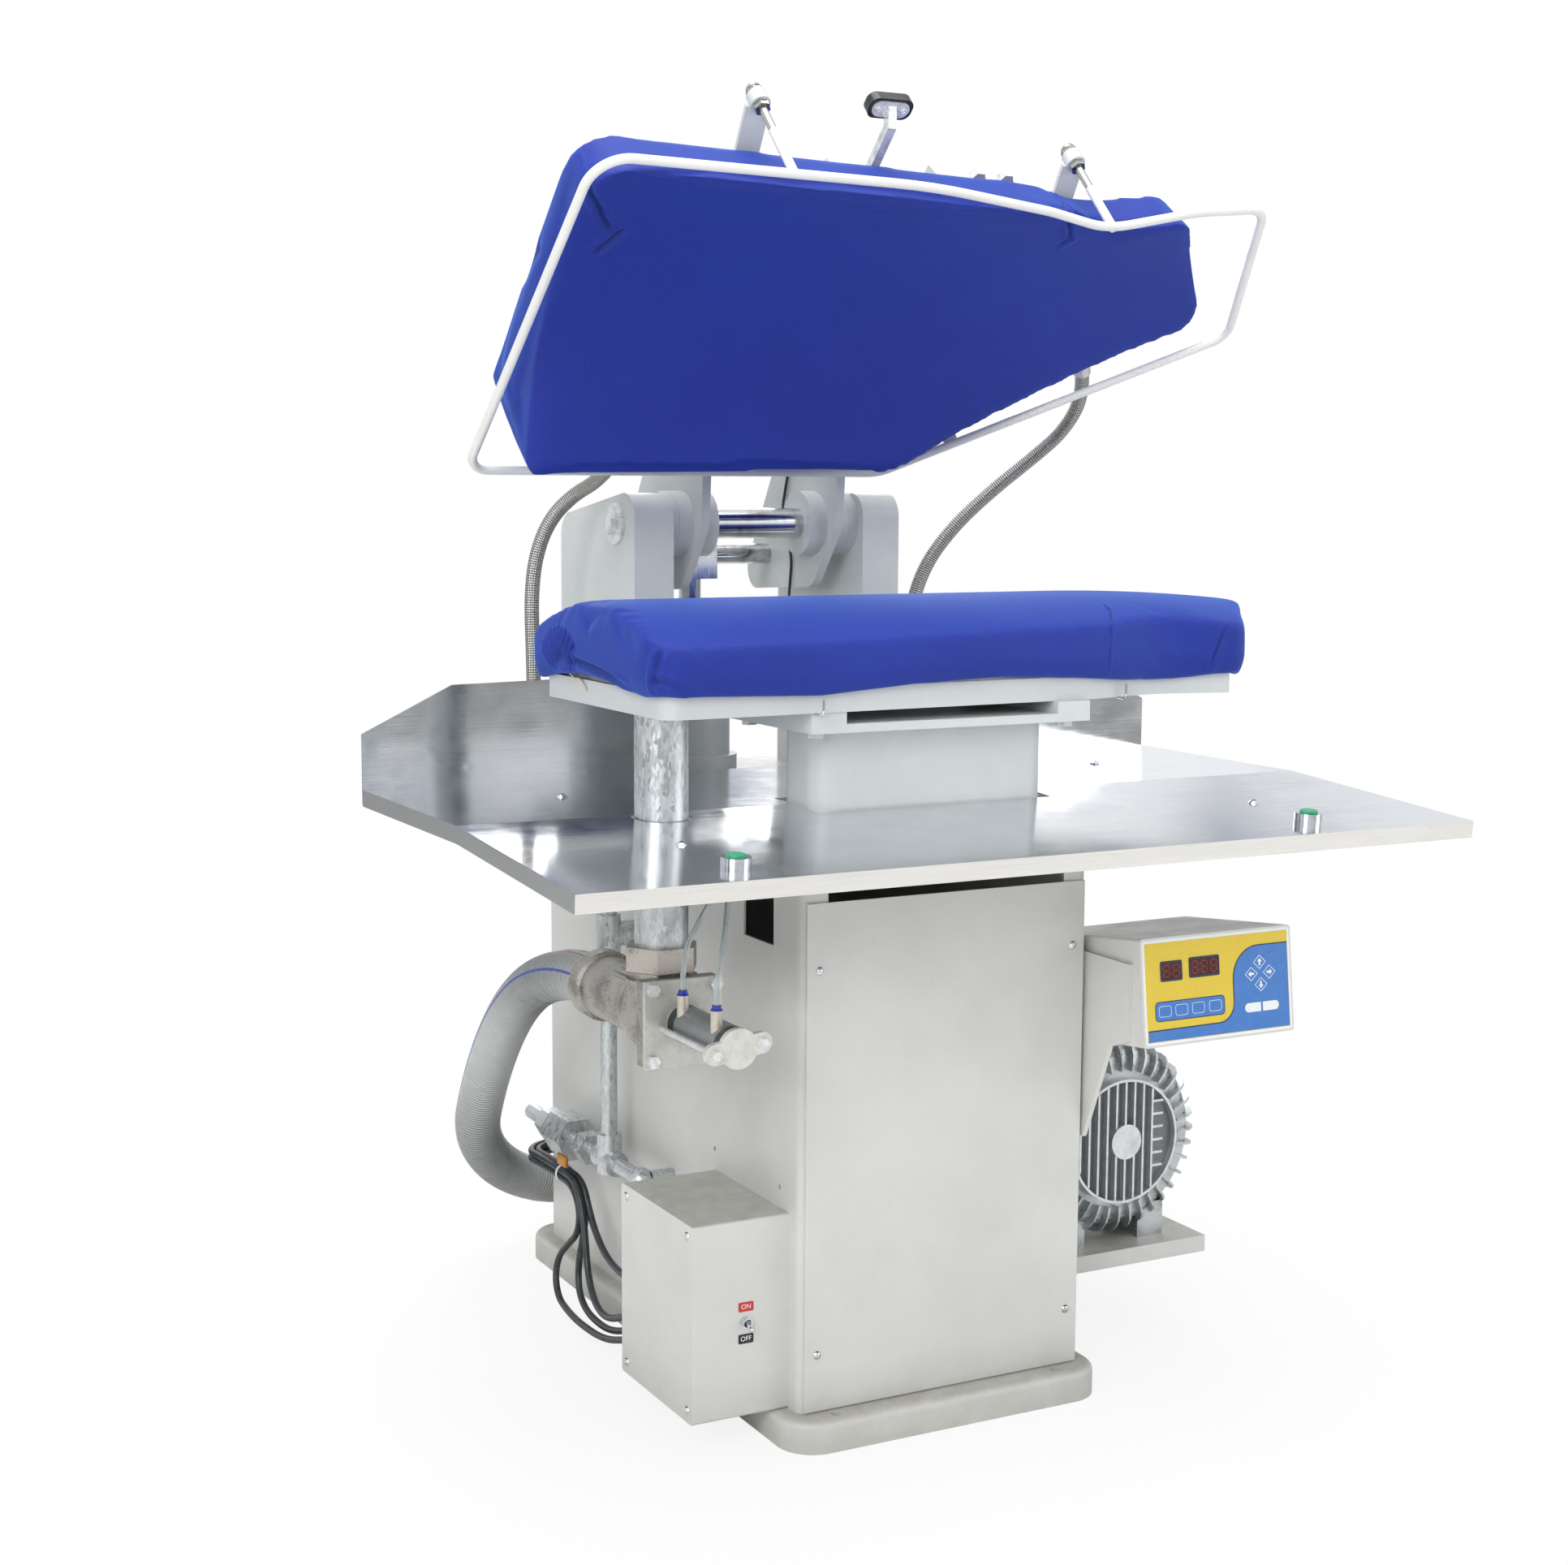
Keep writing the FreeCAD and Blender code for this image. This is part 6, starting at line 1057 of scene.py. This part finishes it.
keys.append([(175.5, 89)] + arc((194.2, 94.5), 5.5, 270, 450) + [(175.5, 100)])
print_on_face("print_white_keys", keys, 0.25, white_ink)
margin = [rounded(2.5, 2.5, 219.5, 125.5, 4), rounded(6.2, 6.2, 215.8, 121.8, 3)]
print_on_face("print_pale_frame", margin, -0.6, white_ink)

# %% [markdown]
# ## Switch legends
# Two small engraved plates tell the toggle's positions: a red one above its nut and a black one below. Each
# is a rounded plate with letters; text objects become meshes before they are placed.

# %% Switch legends
LEGEND_X = -250
for word, z, material in (("ON", 169.5, red_ink), ("OFF", 131.5, black_ink)):
    front = front_of(LEGEND_X + 14, z)
    stand = at(LEGEND_X, front, z) @ tilt(90)
    plate = flat_shape([rounded(-9.5, -5.5, 9.5, 5.5, 1.5)], 0.8)
    settle(plate, "legend_plate_" + word.lower(), material, "frame",
           stand @ at(0, 0, 0.4))
    bpy.ops.object.text_add()
    letters = bpy.context.object
    letters.data.body = word
    letters.data.align_x, letters.data.align_y = "CENTER", "CENTER"
    letters.data.size = 8 * MM
    letters.data.extrude = 0.06 * MM
    bpy.ops.object.convert(target="MESH")
    letters = bpy.context.object
    settle(letters, "legend_letters_" + word.lower(), white_ink, "frame",
           stand @ at(0, 0, 0.86))
    print("legend", word, "at y", round(front, 1), "mm")

# %% [markdown]
# ## Grip plate
# The black grip is held by a nickelled oval plate with three screws, and the plate is welded to the bent end
# of the bar. It lies on the back of the head, so it is drawn in the head's own tilted frame.

# %% Grip plate
BACK = at(0, -211.82, 1487.25) @ tilt(-44.19)
GRIP_X, GRIP_V = -4, -51.2  # the middle of the plate on the head's back
oval = flat_shape([arc((14, 0), 10.5, -90, 90) + arc((-14, 0), 10.5, 90, 270)], 1.8)
soften(oval, 0.5)
settle(oval, "grip_plate", nickel, "head", BACK @ at(GRIP_X, GRIP_V, 19.1))
screws = []
for x, v in ((-17, 0), (17, 0), (-7, 6)):
    bpy.ops.mesh.primitive_cylinder_add(vertices=20, radius=3.2 * MM, depth=1.6 * MM)
    screw = bpy.context.object
    choose(screw, lambda normal: normal.z < -0.9)
    for step in (-0.5, 0.7):
        bpy.ops.mesh.inset(thickness=1.0 * MM)
        bpy.ops.transform.translate(value=metres(0, 0, step))
    bpy.ops.object.mode_set(mode="OBJECT")
    bake(screw, BACK @ at(GRIP_X + x, GRIP_V + v, 17.6))
    screws.append(screw)
screws = gather(screws)
settle(screws, "grip_plate_screws", nickel, "head")
print("grip plate and three screws")

# %% [markdown]
# ## Cross recesses
# The table is held by dome-head screws with a cross recess. The CAD screws are plain domes, so the shade of
# the recess is painted on: a dark cross laid into each, two thin bars that stand 0.1 mm out of the dome.
# Their places are read from the CAD mesh, one per loose part.

# %% Cross recesses
def loose_tops(node):
    """The highest point of each loose part of a CAD node, in metres."""
    shape = bmesh.new()
    shape.from_mesh(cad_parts[node].data)
    bmesh.ops.remove_doubles(shape, verts=shape.verts, dist=0.02 * MM)
    waiting, tops = set(shape.verts), []
    while waiting:
        island, edge = [], [waiting.pop()]
        while edge:
            vertex = edge.pop()
            island.append(vertex)
            for link in vertex.link_edges:
                other = link.other_vert(vertex)
                if other in waiting:
                    waiting.remove(other)
                    edge.append(other)
        high = max(v.co.z for v in island)
        crown = [v.co for v in island if v.co.z > high - 0.05 * MM]
        tops.append(sum(crown, Vector()) / len(crown))
    shape.free()
    return tops


recess_shade = ink("recess_shade", "#2E3032", "#44474A", 0.5)
bars = []
for spot in loose_tops("dome_screws"):
    for size in ((4.6, 1.2, 0.5), (1.2, 4.6, 0.5)):
        bars.append(block(size, (spot.x / MM, spot.y / MM, spot.z / MM - 0.15), 0.15))
crosses = gather(bars)
settle(crosses, "screw_recess_shade_crosses", recess_shade, "frame")
print("cross recesses:", len(bars) // 2)

# %% [markdown]
# ## Ties and lever
# A white nylon tie holds the four cables together where they turn down, and the steam valve has a short brass
# lever. The tie is a band: a cylinder whose ends are deleted, given a thickness, with a small locking head.
# The lever is a cube drawn out and rounded.

# %% Ties and lever
def band(radius, wide, thick, place_mm, axis):
    """A strap round a bundle: an open cylinder made thick."""
    bpy.ops.mesh.primitive_cylinder_add(vertices=36, radius=radius * MM, depth=wide * MM)
    strap = bpy.context.object
    choose(strap, lambda normal: abs(normal.z) > 0.9)
    bpy.ops.mesh.delete(type="FACE")
    bpy.ops.object.mode_set(mode="OBJECT")
    modify(strap, "SOLIDIFY", thickness=thick * MM, offset=1)
    turn = Vector((0, 0, 1)).rotation_difference(Vector(axis)).to_matrix().to_4x4()
    bake(strap, at(*place_mm) @ turn)
    return strap


tie = gather([band(11.5, 4.0, 1.0, (-247, 192, 180), (0, 1, 0)), block((5, 6, 4.5), (-247, 192, 193.2), 0.8)])
settle(tie, "cable_tie", nylon, "frame")
lever = block((5, 30, 15), (-264, 156, 209), 1.6)
choose(lever, lambda normal: normal.y > 0.6)
bpy.ops.transform.resize(value=(1, 1, 0.6))
bpy.ops.object.mode_set(mode="OBJECT")
settle(lever, "steam_valve_lever", brass, "frame")
print("cable tie and steam valve lever")

# %% [markdown]
# ## Padded covers
# The covers are stretched over thick felt, so their edges are round and their faces slightly full. Each
# starts as a copy of the CAD pad, remeshed to even quads and drawn in a little, then a cloth simulation blows
# it up from inside, as padding does, and the movement is capped so that it keeps its place. Folds and seams
# are pressed in afterwards.

# %% Padding helpers
PAD_VOXEL, PAD_DRAW_IN, PAD_SWELL = 5.5, 1.5, 3  # millimetres


def swell(pad, cap_mm, frames=20):
    """Blows the pad up as cloth from inside, and caps how far each point goes."""
    rest = np.array([v.co for v in pad.data.vertices])
    bpy.ops.object.modifier_add(type="CLOTH")
    cloth = pad.modifiers[-1]
    cloth.settings.quality = 5
    cloth.settings.use_pressure = True
    cloth.settings.uniform_pressure_force = 4
    cloth.settings.effector_weights.gravity = 0
    cloth.point_cache.frame_end = frames
    for number in range(1, frames + 1):
        scene.frame_set(number)
    blown = pad.evaluated_get(bpy.context.evaluated_depsgraph_get()).to_mesh()
    move = np.array([v.co for v in blown.vertices]) - rest
    reach = np.linalg.norm(move, axis=1, keepdims=True)
    move *= np.minimum(1, cap_mm * MM / np.maximum(reach, 1e-9))
    pad.modifiers.remove(cloth)
    scene.frame_set(1)
    pad.data.vertices.foreach_set("co", (rest + move).astype(np.float32).ravel())
    pad.data.update()


def start_cover(name, node):
    """A cover before its folds: the CAD pad, remeshed, drawn in, blown up and refined."""
    pad = merged_copy(name, node)
    even(pad, PAD_VOXEL, 14)
    for vertex, normal in zip(pad.data.vertices, [v.normal.copy() for v in pad.data.vertices]):
        vertex.co -= normal * PAD_DRAW_IN * MM
    swell(pad, PAD_SWELL)
    modify(pad, "SUBSURF", levels=1, render_levels=1)
    bpy.ops.object.shade_smooth()
    return pad


print("helpers: swell, start_cover")

# %% [markdown]
# ## Folds and seams
# A stretched cover tells its story at its edges. At the buck's left end the hem is gathered by a drawstring,
# so pleats fan out of one place and the hem is lifted off the tray. Corners are tucked, and seams and darts
# pull the cloth into grooves with a small swelling on both sides. Sculpting by hand would do; here each fold
# is a line of points measured on the photograph, and the cloth is pressed along it. Near the lines the mesh
# is subdivided once more.

# %% Fold tools
FOLD_REACH = 13  # millimetres beside a fold that are subdivided once more


def places_of(pad, kind="co"):
    """Vertex places in millimetres, or vertex normals, as an array."""
    values = np.empty(len(pad.data.vertices) * 3)
    if kind == "co":
        pad.data.vertices.foreach_get("co", values)
        values /= MM
    else:
        pad.data.vertex_normals.foreach_get("vector", values)
    return values.reshape(-1, 3)


def put_places(pad, places):
    pad.data.vertices.foreach_set("co", (places * MM).astype(np.float32).ravel())
    pad.data.update()


def between(values, start, full):
    """0 at start and before it, 1 at full and after it."""
    return np.clip((values - start) / (full - start), 0, 1)


def nearest(points, line):
    """How far each point is from a line of points, and where along it, 0 to 1."""
    line = np.array(line, float)
    spans = np.linalg.norm(np.diff(line, axis=0), axis=1)
    run = np.concatenate(([0], np.cumsum(spans)))
    gap, along = np.full(len(points), 1e9), np.zeros(len(points))
    for a, b, span, start in zip(line, line[1:], spans, run):
        share = np.clip((points - a) @ (b - a) / span ** 2, 0, 1)
        off = np.linalg.norm(points - (a + share[:, None] * (b - a)), axis=1)
        closer = off < gap
        gap[closer] = off[closer]
        along[closer] = ((start + share * span) / run[-1])[closer]
    return gap, along


def finer(pad, folds, reach):
    """Subdivides the faces near the folds."""
    middles = np.empty(len(pad.data.polygons) * 3)
    pad.data.polygons.foreach_get("center", middles)
    middles = middles.reshape(-1, 3) / MM
    near = np.zeros(len(middles), bool)
    for line, depth, width, lip in folds:
        near |= nearest(middles, line)[0] < reach
    only(pad)
    bpy.ops.object.mode_set(mode="EDIT")
    bpy.ops.mesh.select_mode(type="FACE")
    bpy.ops.mesh.select_all(action="DESELECT")
    bpy.ops.object.mode_set(mode="OBJECT")
    pad.data.polygons.foreach_set("select", near)
    bpy.ops.object.mode_set(mode="EDIT")
    bpy.ops.mesh.subdivide(number_cuts=1)
    bpy.ops.object.mode_set(mode="OBJECT")


def press(pad, folds):
    """Presses folds in: each is a line, a depth, a width and the height of the swelling beside it."""
    places, normals = places_of(pad), places_of(pad, "normal")
    move, crease = np.zeros(len(places)), np.zeros(len(places))
    for line, depth, width, lip in folds:
        gap, along = nearest(places, line)
        fade = np.clip(8 * along * (1 - along), 0, 1)
        groove = np.exp(-(gap / width) ** 2)
        move += fade * (lip * np.exp(-((gap - 2 * width) / width) ** 2) - depth * groove)
        # The shade painted into a fold grows with the depth of its groove.
        crease += fade * groove ** 2 * min(1, depth / 6)
    put_places(pad, places + normals * move[:, None])
    layer = pad.data.attributes.new("crease", "FLOAT", "POINT")
    layer.data.foreach_set("value", np.clip(crease, 0, 0.8).astype(np.float32))


def close_cover(pad, body, node, folds):
    finer(pad, folds, FOLD_REACH)
    press(pad, folds)
    pad.data.materials.append(cover_cloth)
    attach(pad, body)
    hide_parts(node)
    print(pad.name, len(pad.data.polygons), "faces,", len(folds), "folds")


print("fold tools: places_of, between, nearest, finer, press, close_cover")

# %% Buck cover
buck = start_cover("buck_cover", "buck_pad")
places = places_of(buck)
x, y, z = places.T.copy()
HEM, NOSE_DROOP = 868, 15  # the level of the CAD hem, and how far the right end hangs lower
HEM_Y = [-385, -333, -306, -268, -220, -183, -121, -62]
HEM_Z = [869, 874, 878, 882, 884, 884, 879, 868]
end = between(x, -350, -386)
z += (np.interp(y, HEM_Y, HEM_Z) - HEM) * end ** 2 * (3 - 2 * end) * between(z, 932, 870)
HEM_X = [-392, -330, -182, -60, 60, 170, 250, 380, 500]
HEM_UP = [4, 4, -1, 8, 12, 8, 1, 7, 4]
z += np.interp(x, HEM_X, HEM_UP) * between(y, -368, -392) * between(z, 915, 869)
z -= NOSE_DROOP * between(x, 230, 505) ** 2 * between(z, 884, 944)
places[:, 2] = z
put_places(buck, places)
BUCK_FOLDS = [([(-392, y, z + 8), (-392, 0.55 * y - 74, z - 22), (-392, 0.22 * y - 130, 872)], 5.5, 3.0, 2.0)
              for y, z in ((-104, 912), (-116, 921), (-128, 928), (-141, 931), (-154, 933), (-167, 932), (-180, 930),
                           (-193, 924), (-204, 917))]
BUCK_FOLDS += [
    ([(-392, -186, 896), (-392, -206, 904), (-391, -240, 901), (-391, -290, 894), (-391, -345, 882)], 3.6, 4.0, 2.6),
    ([(-381, -409, 930), (-383, -407, 918), (-385, -405, 905), (-387, -401, 891), (-388, -398, 872)], 4.5, 4.0, 1.8),
    ([(-386, -396, 896), (-378, -413, 893), (-366, -419, 888), (-345, -422, 882)], 2.6, 4.0, 1.4),
    ([(243, -330, 962), (236, -358, 956), (217, -388, 943), (212, -395, 920), (210, -395, 893), (213, -392, 868)],
     2.6, 2.2, 0.8),
    ([(388, -393, 940), (380, -390, 920), (371, -388, 898), (363, -384, 868)], 3.0, 3.0, 1.2)]
close_cover(buck, "frame", "buck_pad", BUCK_FOLDS)

# %% Head cover
head = start_cover("head_cover", "head_pad")
HEAD_FOLDS = [
    ([(-394, -210, 1470), (-394, -222, 1458), (-396, -237, 1442), (-397, -252, 1428)], 3.0, 3.0, 1.0),
    ([(-398, -262, 1428), (-390, -250, 1418), (-382, -243, 1413), (-371, -232, 1405), (-363, -221, 1397),
      (-354, -213, 1390), (-344, -205, 1382)], 4.5, 4.0, 2.0),
    ([(-332, -210, 1388), (-346, -194, 1372), (-358, -181, 1359)], 3.5, 4.5, 1.5),
    ([(-400, -128, 1372), (-400, -101, 1361), (-400, -56, 1334)], 3.0, 9.0, 0.5),
    ([(250, -190, 1466), (249, -218, 1447), (232, -258, 1428), (241, -247, 1416), (256, -226, 1402)], 2.8, 2.4, 0.9),
    ([(249, -216, 1446), (256, -233, 1435), (282, -239, 1424)], 2.4, 3.5, 1.2),
    ([(236, -252, 1420), (254, -230, 1404), (240, -218, 1394)], 2.2, 3.5, 1.0),
    ([(420, -214, 1436), (440, -222, 1430), (462, -222, 1424), (482, -214, 1418)], 3.0, 4.0, 1.4),
    ([(436, -196, 1440), (452, -206, 1436), (470, -210, 1430)], 2.6, 3.5, 1.2)]
close_cover(head, "head", "head_pad", HEAD_FOLDS)
